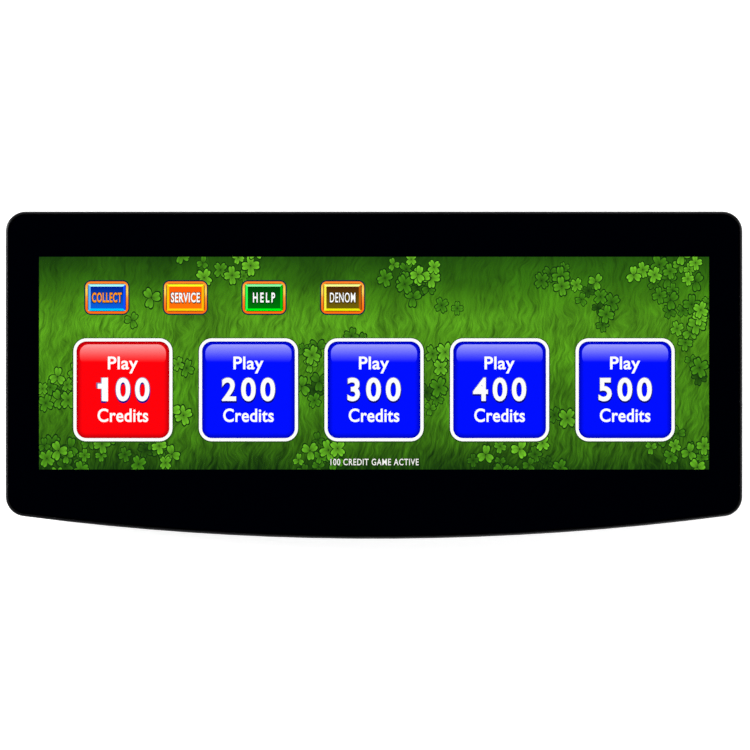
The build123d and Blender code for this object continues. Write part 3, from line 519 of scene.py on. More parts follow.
def clover_pattern(leaves):
    """A clover of unit leaves, each on a wider dark one.

    Its tint holds the shade of a leaf, with alpha 1 where it is leaf and 0 where it is outline.
    """
    leaf = clover_leaf()
    wide = 1.12 if leaves == 3 else 1.0
    made = []
    for n in range(leaves):
        angle = math.tau * n / leaves
        for grow, rise in ((OUTLINE_GROWTH, 0.0), (0.0, 1.0)):
            copy = bpy.data.objects.new("leaf", leaf.data.copy())
            bpy.context.collection.objects.link(copy)
            back = grow * OUTLINE_BACK
            copy.location = (math.sin(angle) * back, -math.cos(angle) * back, rise)
            copy.rotation_euler = (0, 0, angle)
            copy.scale = (wide + grow * 1.3, 1.0 + grow, 1.0)
            select(copy)
            bpy.ops.object.transform_apply(location=True, rotation=True, scale=True)

            def shade(px, py, pz):
                if not rise:
                    return (0.0, 0.0, 0.0, 0.0)
                # light at the tip, dark at the stalk end and along the leaf's middle line
                away = py * math.cos(angle) - px * math.sin(angle)
                across = abs(px * math.cos(angle) + py * math.sin(angle))
                tip = 0.50 + 0.75 * min(1.0, away * 1.05)
                return grey(tip * (0.55 + 0.45 * min(1.0, across * 5.0)))

            paint(copy, shade)
            made.append(copy)
    bpy.data.objects.remove(leaf)
    return join("clover_pattern", made)


def clover(pattern, x, y, z, size, turn, tone, line):
    """A clover, copied from a pattern and coloured by its tone."""
    obj = bpy.data.objects.new("clover", pattern.data.copy())
    bpy.context.collection.objects.link(obj)
    obj.rotation_euler = (0, 0, turn)
    obj.scale = (size, size, CLOVER_STEP / 2 * MM)
    select(obj)
    bpy.ops.object.transform_apply(location=True, rotation=True, scale=True)
    obj.location, obj.scale = (x, y, z), (CLOVER_SQUEEZE, 1.0, 1.0)
    bpy.ops.object.transform_apply(location=True, rotation=True, scale=True)
    for corner in obj.data.color_attributes["tint"].data:
        light, leaf = corner.color[0], corner.color[3]
        corner.color = scaled(tone, light) if leaf > 0.5 else line
    return obj


class DECK_OT_clovers(bpy.types.Operator):
    """Scatter clovers over the grass, the light ones on top"""

    bl_idname = "deck.clovers"
    bl_label = "Clovers"

    def execute(self, context):
        s, c = sizes(), shades()
        seed = random.Random(CLOVER_SEED)
        plan = []
        for px, py, spread, count, light in CLOVER_PATCHES:
            for k in range(count):
                # spread round the patch's middle, so that neighbours overlap little
                way = 2.4 * k + seed.uniform(-0.4, 0.4)
                reach = PATCH_REACH * spread * math.sqrt((k + 0.3) / count)
                tone = max(0.0, min(1.0, light + seed.uniform(-0.5, 0.45)))
                plan.append((tone, px + reach * math.cos(way),
                             py + PATCH_FLATNESS * reach * math.sin(way),
                             seed.uniform(*LEAF_LENGTHS), seed.uniform(0, math.tau),
                             seed.random() < 0.3))
        plan.sort()
        half_width = s.picture_width / 2
        low, high = s.picture_y - s.picture_height / 2, s.picture_y + s.picture_height / 2
        patterns = {True: clover_pattern(3), False: clover_pattern(4)}
        tones = [(0.0, tuple(c.clover_dark)), (0.55, tuple(c.clover_middle)),
                 (1.0, tuple(c.clover_light))]
        groups = {"dark": [], "middle": [], "light": []}
        for n, (tone, x, y, size, turn, three) in enumerate(plan):
            name = "dark" if tone < 0.35 else "middle" if tone < 0.65 else "light"
            z = CELL_TOP + s.layer_step + (CLOVER_START + n * CLOVER_STEP) * MM
            groups[name].append(clover(patterns[three], x * MM, y * MM, z, size * MM, turn,
                                       blend_stops(tones, tone), tuple(c.clover_line)))
        for pattern in patterns.values():
            bpy.data.objects.remove(pattern)
        for name, made in groups.items():
            obj = join(f"screen_clovers_{name}", made)
            # nothing shows past the picture's edge
            bpy.ops.object.mode_set(mode="EDIT")
            for edge, outwards in (((-half_width, 0, 0), (-1, 0, 0)),
                                   ((half_width, 0, 0), (1, 0, 0)),
                                   ((0, low, 0), (0, -1, 0)), ((0, high, 0), (0, 1, 0))):
                bpy.ops.mesh.select_all(action="SELECT")
                bpy.ops.mesh.bisect(plane_co=edge, plane_no=outwards, clear_outer=True)
            bpy.ops.object.mode_set(mode="OBJECT")
            lit_piece(obj, backlit_cell())
        return {"FINISHED"}


# Sizes of the play keys, in millimetres. Their shadow shows this far round them and lies this much
# to the front
SHADOW_SPREAD, SHADOW_DROP = 0.5, 0.15
# The face is shaded in so many rings of this width, and its shade reaches this far in
FACE_RINGS, FACE_RING, FACE_SHADE = 8, 0.42, 3.1
# A gloss fades in towards its rear edge, this far in front of the face's
GLOSS_WIDTH, GLOSS_HEIGHT, GLOSS_RADIUS, GLOSS_INSET = 44.2, 10.6, 4.4, 1.55
# Where the gloss stands between its front edge, 0, and its rear one, and how white it is there
GLOSS_FADE = [(0.0, 0.0), (0.16, 0.0), (0.45, 0.07), (0.78, 0.21), (1.0, 0.34)]
# Lettering: how far its middle lies to the right of the key's and behind it, its width and height,
# and its weight and letter spacing
PLAY_LINE = (0.0, 12.75, 15.5, 8.7, 0.018, 1.04)
CREDITS_LINE = (0.0, -13.1, 26.0, 7.0, 0.018, 1.04)
FIGURES_LINE = (0.0, 0.15, 27.3, 12.1, 0.026, 1.32)
FIGURES_SHADE = (0.15, -0.55, 28.0, 12.7, 0.04, 1.3)
FIGURES_GLOW = (0.0, 0.1, 28.0, 12.8, 0.04, 1.3)
# The flag of a figure 1, a level block: what it takes off both ends of the line, how far its middle
# lies to the left of the stem and its top below the stem's, and its width and height
FLAG_ASIDE, FLAG_LEFT, FLAG_DROP, FLAG_WIDTH, FLAG_HEIGHT = 1.35, 0.85, 3.0, 2.4, 2.6
# A heavier stem for it: how far its middle lies from the stem's left side, and its width
STEM_MIDDLE, STEM_WIDTH = 2.0, 2.6
# Height of the keys above the LCD's cell, past the clovers
KEYS_HEIGHT = 0.50
WHITE = grey(1.0)


def key_layers():
    """Heights of the keys' layers."""
    return [CELL_TOP + KEYS_HEIGHT * MM + n * sizes().layer_step for n in range(7)]


def flag_of_one(left, top, z, grow):
    """The flag of a figure 1: a level block to the left of a stem that starts at left."""
    return plate("flag", left - FLAG_LEFT * MM, top - (FLAG_DROP + FLAG_HEIGHT / 2) * MM, z,
                 FLAG_WIDTH * MM + 2 * grow, FLAG_HEIGHT * MM + grow, 0)


def rows_of(middle, height, count=8):
    """Where a piece is cut across, so that its shade can change over count rows."""
    return [middle + height * (k / count - 0.5) for k in range(1, count)]


def play_key_face(name, x, body, edge):
    """A play key without its lettering: shadow, white frame, shaded face and gloss."""
    s, c = sizes(), shades()
    layers = key_layers()
    face_w, face_h = s.key_width - 2 * s.key_frame, s.key_height - 2 * s.key_frame
    face_r = s.key_radius - s.key_frame
    shadow = plate("shadow", x, s.key_y - SHADOW_DROP * MM, layers[0],
                   s.key_width + 2 * SHADOW_SPREAD * MM, s.key_height + 2 * SHADOW_SPREAD * MM,
                   s.key_radius + SHADOW_SPREAD * MM, 10)
    fill(shadow, c.key_shadow)
    rim = plate("frame", x, s.key_y, layers[1], s.key_width, s.key_height, s.key_radius, 10)
    fill(rim, c.key_white)
    face = plate("face", x, s.key_y, layers[2], face_w, face_h, face_r, 10)
    inset_rings(face, FACE_RING * MM, FACE_RINGS)

    def shade(px, py, pz):
        inside = edge_distance(px - x, py - s.key_y, face_w, face_h, face_r)
        soft = 1.0 - min(1.0, inside / (FACE_SHADE * MM))
        return mix(body, edge, soft ** 1.4 * (0.95 if py < s.key_y else 1.1))

    paint(face, shade)
    gloss_h = GLOSS_HEIGHT * MM
    gloss_y = s.key_y + face_h / 2 - GLOSS_INSET * MM - gloss_h / 2
    gloss = plate("gloss", x, gloss_y, layers[3], GLOSS_WIDTH * MM, gloss_h, GLOSS_RADIUS * MM, 10)
    cut_rows(gloss, rows_of(gloss_y, gloss_h))
    stops = [(position, mix(body, WHITE, white)) for position, white in GLOSS_FADE]
    paint(gloss, lambda px, py, pz: blend_stops(stops, (py - gloss_y) / gloss_h + 0.5))
    lit_piece(join(f"{name}_face", [shadow, rim, face, gloss]), backlit_cell())


def play_key_lettering(name, x, figure):
    """A play key's three lines, its figures over a dark shade and a glow that pales to the rear."""
    s, c = sizes(), shades()
    layers = key_layers()
    one = figure.startswith("1")
    aside = FLAG_ASIDE * MM if one else 0.0

    def line(text, style, layer, aside=0.0):
        right, rise, width, height, weight, spacing = style
        return lettering("line", text, x + aside + right * MM, s.key_y + rise * MM, layers[layer],
                         width * MM - 2 * aside, height * MM, weight, spacing)

    white = [line("Play", PLAY_LINE, 5), line("Credits", CREDITS_LINE, 5),
             line(figure, FIGURES_LINE, 6, aside)]
    if one:
        rise, width, height = FIGURES_LINE[1:4]
        stem = x + aside - (width * MM - 2 * aside) / 2
        white.append(flag_of_one(stem, s.key_y + (rise + height / 2) * MM, layers[6], 0))
        white.append(plate("stem", stem + STEM_MIDDLE * MM, s.key_y + rise * MM, layers[6],
                           STEM_WIDTH * MM, height * MM, 0))
    for piece in white:
        fill(piece, c.key_white)
    deep, pale = tuple(c.figure_shade), mix(c.figure_shade, WHITE, 0.2)
    shade = line(figure, FIGURES_SHADE, 4, aside)
    fill(shade, deep)
    glow = [line(figure, FIGURES_GLOW, 5, aside)]
    if one:
        rise, width, height = FIGURES_GLOW[1:4]
        glow.append(flag_of_one(x + aside - (width * MM - 2 * aside) / 2,
                                s.key_y + (rise + height / 2) * MM, layers[5], 0.35 * MM))
    for piece in glow:
        paint(piece, lambda px, py, pz: mix(deep, pale, (py - s.key_y) / (12 * MM) + 0.45))
    lit_piece(join(f"{name}_lettering", white + [shade] + glow), backlit_cell())


class DECK_OT_play_keys(bpy.types.Operator):
    """Build the row of large play keys"""

    bl_idname = "deck.play_keys"
    bl_label = "Play keys"

    def execute(self, context):
        s, c = sizes(), shades()
        for n in range(5):
            x = (n - 2) * s.key_pitch
            name = f"play_key_{n + 1}"
            body, edge = (c.key_red, c.key_red_edge) if n == 0 else (c.key_blue, c.key_blue_edge)
            play_key_face(name, x, tuple(body), tuple(edge))
            play_key_lettering(name, x, f"{n + 1}00")
        return {"FINISHED"}


# Menu keys: word, its width in mm, its colour, its outline, the face's top and bottom colour, and
# the bevel's top, left, right and bottom colour
MENU_KEYS = [
    ("COLLECT", 15.3, "#FF9900", "#10204A", "#001C8C", "#0A60E0",
     "#B0FFFF", "#60B0FF", "#1050FF", "#00C8FF"),
    ("SERVICE", 14.9, "#FFFFFF", "#40200C", "#FF5A00", "#FF7400",
     "#FFFF20", "#FFC800", "#FFBC00", "#FFD400"),
    ("HELP", 11.4, "#FFFFFF", "#062A08", "#003E00", "#007400",
     "#90FFA0", "#30FF50", "#00C000", "#00FF10"),
    ("DENOM", 13.1, "#FFFFFF", "#2A1400", "#4A1E00", "#706000",
     "#FFFF90", "#FFF040", "#C06000", "#F0F000"),
]
# Sizes of the menu keys, in millimetres: width of the outline, of the rim, of the groove inside it
# and of the bevel round the face, and the groove's corner radius
MENU_OUTLINE, MENU_RIM, MENU_GROOVE, MENU_BEVEL = 0.65, 1.15, 0.35, 1.15
GROOVE_RADIUS = 1.5
# Where the rim is how light, from its front edge, 0, to its rear one
RIM_LIGHT = [(0.0, 0.0), (0.2, 0.0), (0.5, 0.25), (0.7, 1.0), (0.85, 0.5), (1.0, 0.0)]
# Height of the word and weight of its letters. An M fills up when it is as heavy as the others
MENU_WORD, MENU_WEIGHT, MENU_WEIGHT_WITH_M = 5.1, 0.028, 0.012
# The outline under the word is wider and higher by this, and lies this much to the front
UNDER_WIDER, UNDER_HIGHER, UNDER_WEIGHT, UNDER_DROP = 0.8, 0.9, 0.06, 0.1


def menu_key_face(name, x, outline, top, bottom, bevel):
    """A menu key without its word: outline, orange rim, groove and bevelled face."""
    s, c = sizes(), shades()
    layers = key_layers()
    y = s.menu_y
    edge = plate("edge", x, y, layers[0], s.menu_width, s.menu_height, s.menu_radius)
    fill(edge, c.menu_outline)
    rim_w, rim_h = s.menu_width - 2 * MENU_OUTLINE * MM, s.menu_height - 2 * MENU_OUTLINE * MM
    rim = plate("rim", x, y, layers[1], rim_w, rim_h, s.menu_radius - MENU_OUTLINE * MM)
    cut_rows(rim, rows_of(y, rim_h))
    stops = [(position, mix(c.menu_rim, c.menu_rim_light, light)) for position, light in RIM_LIGHT]
    paint(rim, lambda px, py, pz: blend_stops(stops, (py - y) / rim_h + 0.5))
    groove_w, groove_h = rim_w - 2 * MENU_RIM * MM, rim_h - 2 * MENU_RIM * MM
    groove = plate("groove", x, y, layers[2], groove_w, groove_h, GROOVE_RADIUS * MM)
    fill(groove, outline)
    face_w, face_h = groove_w - 2 * MENU_GROOVE * MM, groove_h - 2 * MENU_GROOVE * MM
    face = plate("face", x, y, layers[3], face_w, face_h, 0)
    inset_rings(face, MENU_BEVEL * MM, 1)
    cut_rows(face, [y + face_h * k for k in (-0.25, -0.1, 0.05, 0.2)])
    flat_h = face_h - 2 * MENU_BEVEL * MM
    mesh = face.data
    tint = mesh.color_attributes.new("tint", "FLOAT_COLOR", "CORNER")
    for polygon in mesh.polygons:
        dx, dy = polygon.center.x - x, polygon.center.y - y
        near_x, near_y = face_w / 2 - abs(dx), face_h / 2 - abs(dy)
        for i in polygon.loop_indices:
            if min(near_x, near_y) > MENU_BEVEL * MM:
                place = (mesh.vertices[mesh.loops[i].vertex_index].co.y - y) / flat_h + 0.5
                value = mix(bottom, top, place)
            elif near_y < near_x:
                value = bevel[0 if dy > 0 else 3]
            else:
                value = bevel[1 if dx < 0 else 2]
            tint.data[i].color = value
    lit_piece(join(f"{name}_face", [edge, rim, groove, face]), backlit_cell())


def menu_key_lettering(name, x, word, wide, ink, outline):
    """A menu key's word over its own outline."""
    layers = key_layers()
    y = sizes().menu_y
    # the short word's letters stand further apart
    spacing = 1.5 if len(word) < 5 else 1.12
    under = lettering("under", word, x, y - UNDER_DROP * MM, layers[5], (wide + UNDER_WIDER) * MM,
                      (MENU_WORD + UNDER_HIGHER) * MM, UNDER_WEIGHT, spacing)
    fill(under, outline)
    weight = MENU_WEIGHT_WITH_M if "M" in word else MENU_WEIGHT
    over = lettering("over", word, x, y, layers[6], wide * MM, MENU_WORD * MM, weight, spacing)
    fill(over, ink)
    lit_piece(join(f"{name}_lettering", [under, over]), backlit_cell())


class DECK_OT_menu_keys(bpy.types.Operator):
    """Build the row of small menu keys"""

    bl_idname = "deck.menu_keys"
    bl_label = "Menu keys"

    def execute(self, context):
        s = sizes()
        for n, (word, wide, *codes) in enumerate(MENU_KEYS):
            x = s.menu_x + n * s.menu_pitch
            name = f"menu_key_{word.lower()}"
            ink, outline, top, bottom, *bevel = [linear(code) for code in codes]
            menu_key_face(name, x, outline, top, bottom, bevel)
            menu_key_lettering(name, x, word, wide, ink, outline)
        return {"FINISHED"}


# The status line, and where its middle lies from the picture's, in millimetres
STATUS_TEXT, STATUS_X, STATUS_SPACING = "100 CREDIT GAME ACTIVE", 0.3, 1.12
# It has a dark outline under pale letters: layer, colour, width, height and weight
STATUS_INKS = [(5, "#0C1C06", 45.9, 3.9, 0.04), (6, "#F4F4F0", 45.3, 3.4, 0.012)]


class DECK_OT_status_line(bpy.types.Operator):
    """Write the status line at the foot of the picture"""

    bl_idname = "deck.status_line"
    bl_label = "Status line"

    def execute(self, context):
        layers = key_layers()
        lines = []
        for layer, code, width, height, weight in STATUS_INKS:
            line = lettering("line", STATUS_TEXT, STATUS_X * MM, sizes().status_y, layers[layer],
                             width * MM, height * MM, weight, STATUS_SPACING)
            fill(line, linear(code))
            lines.append(line)
        lit_piece(join("status_line_lettering", lines), backlit_cell())
        return {"FINISHED"}


# ---- Glass --------------------------------------------------------------------------------------


class DECK_OT_glass(bpy.types.Operator):
    """Finish the cover glass, its black border and the touch sensor"""

    bl_idname = "deck.glass"
    bl_label = "Glass and border"

    def execute(self, context):
        f = finishes()
        # toughened soda-lime glass: clear and sharp, with faint wipe marks in its gloss
        glass, tree = new_material("toughened_cover_glass")
        place = add_node(tree, "ShaderNodeTexCoord").outputs["Object"]
        drawn = add_node(tree, "ShaderNodeMapping", Vector=place, Scale=(14, 60, 14),
                         Rotation=(0, 0, 0.5))
        wipes = add_node(tree, "ShaderNodeTexNoise", Vector=drawn.outputs["Vector"], Scale=1.0,
                         Detail=5.0)
        rough = add_node(tree, "ShaderNodeMapRange", Value=wipes.outputs["Fac"], From_Min=0.5,
                         From_Max=0.8, To_Min=0.0, To_Max=0.025)
        shader = add_node(tree, "ShaderNodeBsdfPrincipled", Base_Color=(0.985, 0.995, 0.99, 1.0),
                          Roughness=rough.outputs["Result"], IOR=1.5, Transmission_Weight=1.0)
        add_node(tree, "ShaderNodeOutputMaterial", Surface=shader.outputs["BSDF"])
        dress(glass, "cover_glass")

        # chemically strengthened sensor glass: clear, with the faintest grey of its coating
        sensor, tree = new_material("coated_sensor_glass")
        place = add_node(tree, "ShaderNodeTexCoord").outputs["Object"]
        haze = add_node(tree, "ShaderNodeTexNoise", Vector=place, Scale=30.0, Detail=2.0)
        tone = set_ramp(add_node(tree, "ShaderNodeValToRGB", Fac=haze.outputs["Fac"]),
                        [(0.3, grey(0.985)), (0.7, grey(0.995))])
        shader = add_node(tree, "ShaderNodeBsdfPrincipled", Base_Color=tone.outputs["Color"],
                          Roughness=0.0, IOR=1.35, Transmission_Weight=1.0)
        add_node(tree, "ShaderNodeOutputMaterial", Surface=shader.outputs["BSDF"])
        dress(sensor, "touch_sensor")

        # screen-printed ink on the glass: dense blue-black without a grain of its own
        ink = surface("screen_printed_ink", tuple(f.border), 0.6, grain=0.6, depth=0.01, vary=0.05,
                      Specular_IOR_Level=0.1)
        dress(ink, "border_print")
        return {"FINISHED"}


# ---- Housing ------------------------------------------------------------------------------------


def galvanised(name, base, spangle, roughness):
    """Hot-dip galvanised sheet: pale crystals of zinc, each with its own tone and sheen."""
    material, tree = new_material(name)
    place = add_node(tree, "ShaderNodeTexCoord").outputs["Object"]
    wander = add_node(tree, "ShaderNodeTexNoise", Vector=place, Scale=220.0, Detail=2.0)
    moved = add_node(tree, "ShaderNodeVectorMath", {"operation": "MULTIPLY_ADD"},
                     _0=wander.outputs["Color"], _1=(0.002, 0.002, 0.002), _2=place)
    crystal = add_node(tree, "ShaderNodeTexVoronoi", Vector=moved.outputs["Vector"],
                       Scale=1.0 / (spangle * MM))
    value = add_node(tree, "ShaderNodeSeparateColor", Color=crystal.outputs["Color"])
    tone = set_ramp(add_node(tree, "ShaderNodeValToRGB", Fac=value.outputs["Red"]),
                    [(0.0, scaled(base, 0.86)), (0.5, tuple(base)), (1.0, scaled(base, 1.14))])
    rough = add_node(tree, "ShaderNodeMapRange", Value=value.outputs["Green"], To_Min=roughness - 0.04,
                     To_Max=roughness + 0.05)
    rolled = add_node(tree, "ShaderNodeTexNoise", Vector=place, Scale=1800.0, Detail=2.0)
    bump = add_node(tree, "ShaderNodeBump", Strength=0.2, Distance=0.02 * MM,
                    Height=rolled.outputs["Fac"])
    shader = add_node(tree, "ShaderNodeBsdfPrincipled", Base_Color=tone.outputs["Color"],
                      Metallic=1.0, Roughness=rough.outputs["Result"],
                      Normal=bump.outputs["Normal"])
    add_node(tree, "ShaderNodeOutputMaterial", Surface=shader.outputs["BSDF"])
    return material


class DECK_OT_housing(bpy.types.Operator):
    """Finish the bezel, the rear cover, the tray, the hinges and the latches"""

    bl_idname = "deck.housing"
    bl_label = "Housing finishes"

    def execute(self, context):
        f = finishes()
        # injection-moulded ABS, fine spark-eroded texture: satin black with soft highlights
        dress(surface("moulded_abs", tuple(f.bezel), 0.33, grain=0.28, depth=0.03, vary=0.10,
                      Specular_IOR_Level=0.32),
              "bezel_frame")
        # polyester powder coat: black with the low waves of orange peel
        dress(surface("powder_coat", tuple(f.tray), 0.46, grain=1.1, depth=0.10, vary=0.10),
              "tray_pan")
        # hot-dip galvanised sheet
        dress(galvanised("galvanised_sheet", tuple(f.zinc), 5.0, 0.42), "rear_cover",
              "latch_keeper_left", "latch_keeper_right")
        # zinc-plated steel with a clear passivation: bright, faintly blue, rolled along its length
        plated = surface("zinc_plated_steel", linear("#B9BDC4"), 0.30, metallic=1.0, grain=0.35,
                         depth=0.015, vary=0.10, stretch=(1, 0.2, 1))
        dress(plated, "hinge_leaf_left", "hinge_leaf_right", "hinge_pins", "hinge_bracket_left",
              "hinge_bracket_right", "latch_cam_left", "latch_cam_right")
        # cold-headed screws, zinc plated: brighter than the sheet parts
        dress(surface("plated_screws", linear("#C9CBCF"), 0.24, metallic=1.0, grain=0.5, depth=0.01,
                      vary=0.06),
              "rear_cover_screws", "keeper_screws", "hinge_bracket_screws", "hinge_leaf_screws",
              "lcd_strap_screws", "board_screws")
        # glass-filled nylon: matt charcoal with a slight mottle of its fibres
        dress(surface("filled_nylon", linear("#202124"), 0.48, grain=0.5, depth=0.05, vary=0.18),
              "latch_knob_left", "latch_knob_right", "exit_trim")
        # nickel-chrome plated brass: turned and polished
        dress(surface("chrome_plate", linear("#D6D8DA"), 0.09, metallic=1.0, grain=0.4, depth=0.004,
                      vary=0.03, rough_vary=0.03),
              "latch_bushing_left", "latch_bushing_right")
        # closed-cell polyethylene foam: dull, with cells half a millimetre across
        foam = surface("closed_cell_foam", linear("#262728"), 0.92, grain=0.55, depth=0.25, vary=0.15,
                       rough_vary=0.04)
        dress(foam, "edge_seal", "glass_gasket")
        # moulded EPDM rubber: dull black with a dry bloom
        dress(surface("epdm_rubber", linear("#1B1B1B"), 0.78, grain=0.9, depth=0.04, vary=0.2),
              "rest_bumpers")
        # silicone-coated ABS keycaps: mid grey
        dress(surface("keycap_abs", linear("#5A5C60"), 0.50, grain=0.25, depth=0.03, vary=0.06),
              *[f"service_key_{n}" for n in range(1, 6)])
        return {"FINISHED"}


# ---- Electronics --------------------------------------------------------------------------------


def solder_mask(name, base):
    """Solder mask over etched copper: tracks and pours show as lighter steps in the green."""
    material, tree = new_material(name)
    place = add_node(tree, "ShaderNodeTexCoord").outputs["Object"]
    flat = add_node(tree, "ShaderNodeMapping", Vector=place, Scale=(1, 1, 0)).outputs["Vector"]
    cells = add_node(tree, "ShaderNodeTexVoronoi", {"distance": "CHEBYCHEV"}, Vector=flat,
                     Scale=150.0)
    # parallel tracks a millimetre apart that follow the square cells
    step = add_node(tree, "ShaderNodeMath", {"operation": "MULTIPLY"},
                    _0=cells.outputs["Distance"], _1=7.0)
    track = add_node(tree, "ShaderNodeMath", {"operation": "PINGPONG"}, _0=step.outputs["Value"],
                     _1=0.5)
    sharp = add_node(tree, "ShaderNodeMapRange", Value=track.outputs["Value"], From_Min=0.26,
                     From_Max=0.32)
    tone = set_ramp(add_node(tree, "ShaderNodeValToRGB", Fac=sharp.outputs["Result"]),
                    [(0.0, scaled(base, 0.75)), (1.0, scaled(base, 1.5))])
    bump = add_node(tree, "ShaderNodeBump", Strength=0.5, Distance=0.03 * MM,
                    Height=sharp.outputs["Result"])
    shader = add_node(tree, "ShaderNodeBsdfPrincipled", Base_Color=tone.outputs["Color"],
                      Roughness=0.28, Normal=bump.outputs["Normal"])
    add_node(tree, "ShaderNodeOutputMaterial", Surface=shader.outputs["BSDF"])
    return material


class DECK_OT_electronics(bpy.types.Operator):
    """Finish the boards, the sockets and the layers of the LCD"""

    bl_idname = "deck.electronics"
    bl_label = "Electronics finishes"

    def execute(self, context):
        f = finishes()
        dress(solder_mask("solder_mask", tuple(f.board)), "main_board", "touch_board",
              "backlight_board", "key_board", "tcon_board")
        # transfer-moulded epoxy: dark grey, faintly rough
        dress(surface("moulded_epoxy", linear("#1D1E20"), 0.52, grain=0.2, depth=0.02, vary=0.12),
              "main_board_parts", "side_board_parts", "tcon_parts", "key_switches")
        # black anodised aluminium, extruded: matt with fine lines along the fins
        dress(surface("black_anodised", linear("#232427"), 0.42, metallic=0.7, grain=0.2, depth=0.02,
                      vary=0.08, stretch=(1, 0.08, 1)), "heat_sink")
        # turned brass spacers
        dress(surface("turned_brass", linear("#C9A24E"), 0.26, metallic=1.0, grain=0.2, depth=0.01,
                      vary=0.08, stretch=(0.15, 0.15, 3)), "board_standoffs")
        # deep-drawn tinned steel of the socket shells
        dress(surface("tinned_shell", linear("#BFC1C2"), 0.3, metallic=1.0, grain=0.4, depth=0.01),
              "video_socket", "usb_socket")
        # moulded PBT of the power socket
        dress(surface("moulded_pbt", linear("#161617"), 0.45, grain=0.2, depth=0.02), "power_socket")
        # polyester flat cable: white with its conductors showing as fine stripes along it
        dress(surface("flat_cable", linear("#DADCDF"), 0.38, grain=0.5, depth=0.05, vary=0.05,
                      stretch=(2.2, 0.02, 0.02)), "display_ribbon")
        # polyimide film over copper: amber
        dress(surface("polyimide_film", linear("#B0701C"), 0.3, grain=0.7, depth=0.02, vary=0.2,
                      stretch=(2.0, 0.02, 0.02)), "touch_tail")
        # electrogalvanised steel of the LCD: fine-grained and even
        dress(surface("electrogalvanised", linear("#A9ADB1"), 0.36, metallic=1.0, grain=0.4, depth=0.01,
                      vary=0.06, stretch=(0.2, 1, 1)),
              "lcd_front_frame", "lcd_back_plate", "lcd_strap_left", "lcd_strap_right")
        # the LCD's cell: near-black polariser behind the picture
        dress(surface("polariser", linear("#0A0C0B"), 0.3, grain=0.3, depth=0.005), "lcd_cell")
        # white polyester films and polycarbonate frame
        dress(surface("white_polyester", linear("#EDEDEA"), 0.5, grain=0.3, depth=0.02, vary=0.03),
              "diffuser_film", "reflector_sheet", "lcd_mould_frame")
        # cast acrylic light guide with its printed dots
        dress(surface("cast_acrylic", linear("#DDEBEA"), 0.12, grain=1.2, depth=0.01, vary=0.04),
              "light_guide")
        # LED strip: white ceramic packages on a white board
        dress(surface("led_ceramic", linear("#F0EAC8"), 0.4, grain=0.5, depth=0.02, vary=0.08),
              "led_strip")
        return {"FINISHED"}


# ---- Stage --------------------------------------------------------------------------------------

# What the camera's frame spans at the height of the glass, in millimetres, and the camera's aim
# from the deck's middle
FRAME_WIDTH, AIM = 384.75, (0.5, 0.1)
# Focal length and sensor: long, so that the deck is seen almost without perspective
LENS, SENSOR = 200.0, 36.0
# Square lamps: name, place and size in metres, and power in watts
LAMPS = [("soft_left", (-1.5, 0.35, 1.3), 0.45, 26.0), ("soft_right", (1.5, 0.2, 1.4), 1.0, 12.0),
         ("soft_rear", (0.0, 1.7, 1.2), 1.2, 11.0), ("soft_front", (0.3, -1.7, 1.1), 1.2, 15.0)]
# The room's colour from its floor, 0, to straight up, 1: pale walls and a black ceiling, so that
# the flat glass stays black from above
ROOM = [(0.0, grey(0.8)), (0.12, grey(0.60)), (0.35, grey(0.36)), (0.62, grey(0.26)),
        (0.88, (0.03, 0.035, 0.07, 1.0)), (0.95, (0.0, 0.006, 0.038, 1.0)),
        (1.0, (0.0, 0.005, 0.033, 1.0))]


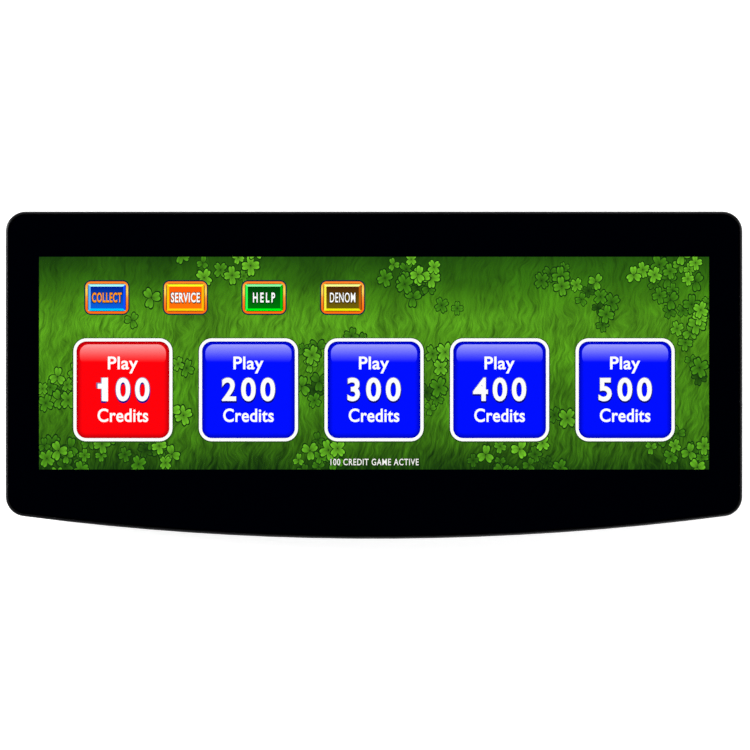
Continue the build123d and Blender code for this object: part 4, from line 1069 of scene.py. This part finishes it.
class DECK_OT_stage(bpy.types.Operator):
    """Set the camera straight above the deck, soft lights, a pale floor and a soft sky"""

    bl_idname = "deck.stage"
    bl_label = "Studio"

    def execute(self, context):
        scene = context.scene
        scene.view_settings.view_transform = "Standard"
        scene.view_settings.look = "None"
        data = bpy.data.cameras.new("studio_camera")
        data.lens, data.sensor_width = LENS, SENSOR
        data.clip_start, data.clip_end = 0.1, 20.0
        camera = bpy.data.objects.new("studio_camera", data)
        scene.collection.objects.link(camera)
        camera.location = (AIM[0] * MM, AIM[1] * MM, cad_box[1][2] + FRAME_WIDTH * MM * LENS / SENSOR)
        scene.camera = camera

        clear_selection()
        bpy.ops.mesh.primitive_plane_add(size=6.0, location=(0, 0, cad_box[0][2] - 0.0002))
        floor = bpy.context.object
        floor.name = "studio_floor"
        # matt opal sheet of a light table: its own glow keeps the shadow on it pale
        floor.data.materials.append(surface("light_table", tuple(finishes().floor), 0.9, grain=4.0,
                                            depth=0.02, vary=0.005, Emission_Color=grey(1.0),
                                            Emission_Strength=0.66))

        for name, place, wide, watts in LAMPS:
            light = bpy.data.lights.new(name, "AREA")
            light.shape, light.size, light.energy = "SQUARE", wide, watts
            lamp = bpy.data.objects.new(name, light)
            scene.collection.objects.link(lamp)
            lamp.location = place
            towards = Vector((0, 0, 0.02)) - Vector(place)
            lamp.rotation_euler = towards.to_track_quat("-Z", "Y").to_euler()

        world = bpy.data.worlds.new("studio_room")
        world.use_nodes = True
        scene.world = world
        tree = world.node_tree
        tree.nodes.clear()
        ways = add_node(tree, "ShaderNodeSeparateXYZ",
                        Vector=add_node(tree, "ShaderNodeTexCoord").outputs["Generated"])
        ramp = set_ramp(add_node(tree, "ShaderNodeValToRGB", Fac=ways.outputs["Z"]), ROOM)
        # its window side, rear left, is brighter than its front right
        across_room = add_node(tree, "ShaderNodeMath", {"operation": "MULTIPLY"},
                               _0=ways.outputs["X"], _1=-0.65)
        window_side = add_node(tree, "ShaderNodeMath", {"operation": "MULTIPLY_ADD"},
                               _0=ways.outputs["Y"], _1=0.75, _2=across_room.outputs["Value"])
        bright = add_node(tree, "ShaderNodeMapRange", Value=window_side.outputs["Value"],
                          From_Min=-0.9, From_Max=0.6, To_Min=0.42, To_Max=1.12)
        back = add_node(tree, "ShaderNodeBackground", Color=ramp.outputs["Color"],
                        Strength=bright.outputs["Result"])
        add_node(tree, "ShaderNodeOutputWorld", Surface=back.outputs["Background"])
        return {"FINISHED"}


OPERATORS = [DECK_OT_stage, DECK_OT_glass, DECK_OT_housing, DECK_OT_electronics, DECK_OT_grass,
             DECK_OT_clovers, DECK_OT_play_keys, DECK_OT_menu_keys, DECK_OT_status_line]


class DECK_PT_panel(bpy.types.Panel):
    """Lists the deck's pieces and what can be changed in them"""

    bl_idname = "DECK_PT_panel"
    bl_label = "Player deck"
    bl_space_type = "VIEW_3D"
    bl_region_type = "UI"
    bl_category = "Player deck"

    def draw(self, context):
        for operator in OPERATORS:
            self.layout.operator(operator.bl_idname)
        for group in (sizes(), shades(), finishes()):
            box = self.layout.box()
            for name in group.bl_rna.properties.keys():
                if name not in {"rna_type", "name"}:
                    box.prop(group, name)


CLASSES = [DeckPictureSizes, DeckPictureColours, DeckFinishColours, *OPERATORS, DECK_PT_panel]


def register():
    for item in CLASSES:
        bpy.utils.register_class(item)
    bpy.types.Scene.deck_sizes = PointerProperty(type=DeckPictureSizes)
    bpy.types.Scene.deck_colours = PointerProperty(type=DeckPictureColours)
    bpy.types.Scene.deck_finishes = PointerProperty(type=DeckFinishColours)


def unregister():
    del bpy.types.Scene.deck_finishes
    del bpy.types.Scene.deck_colours
    del bpy.types.Scene.deck_sizes
    for item in reversed(CLASSES):
        bpy.utils.unregister_class(item)


def main():
    register()
    for operator in OPERATORS:
        group, name = operator.bl_idname.split(".")
        getattr(getattr(bpy.ops, group), name)()


if __name__ == "__main__":
    main()
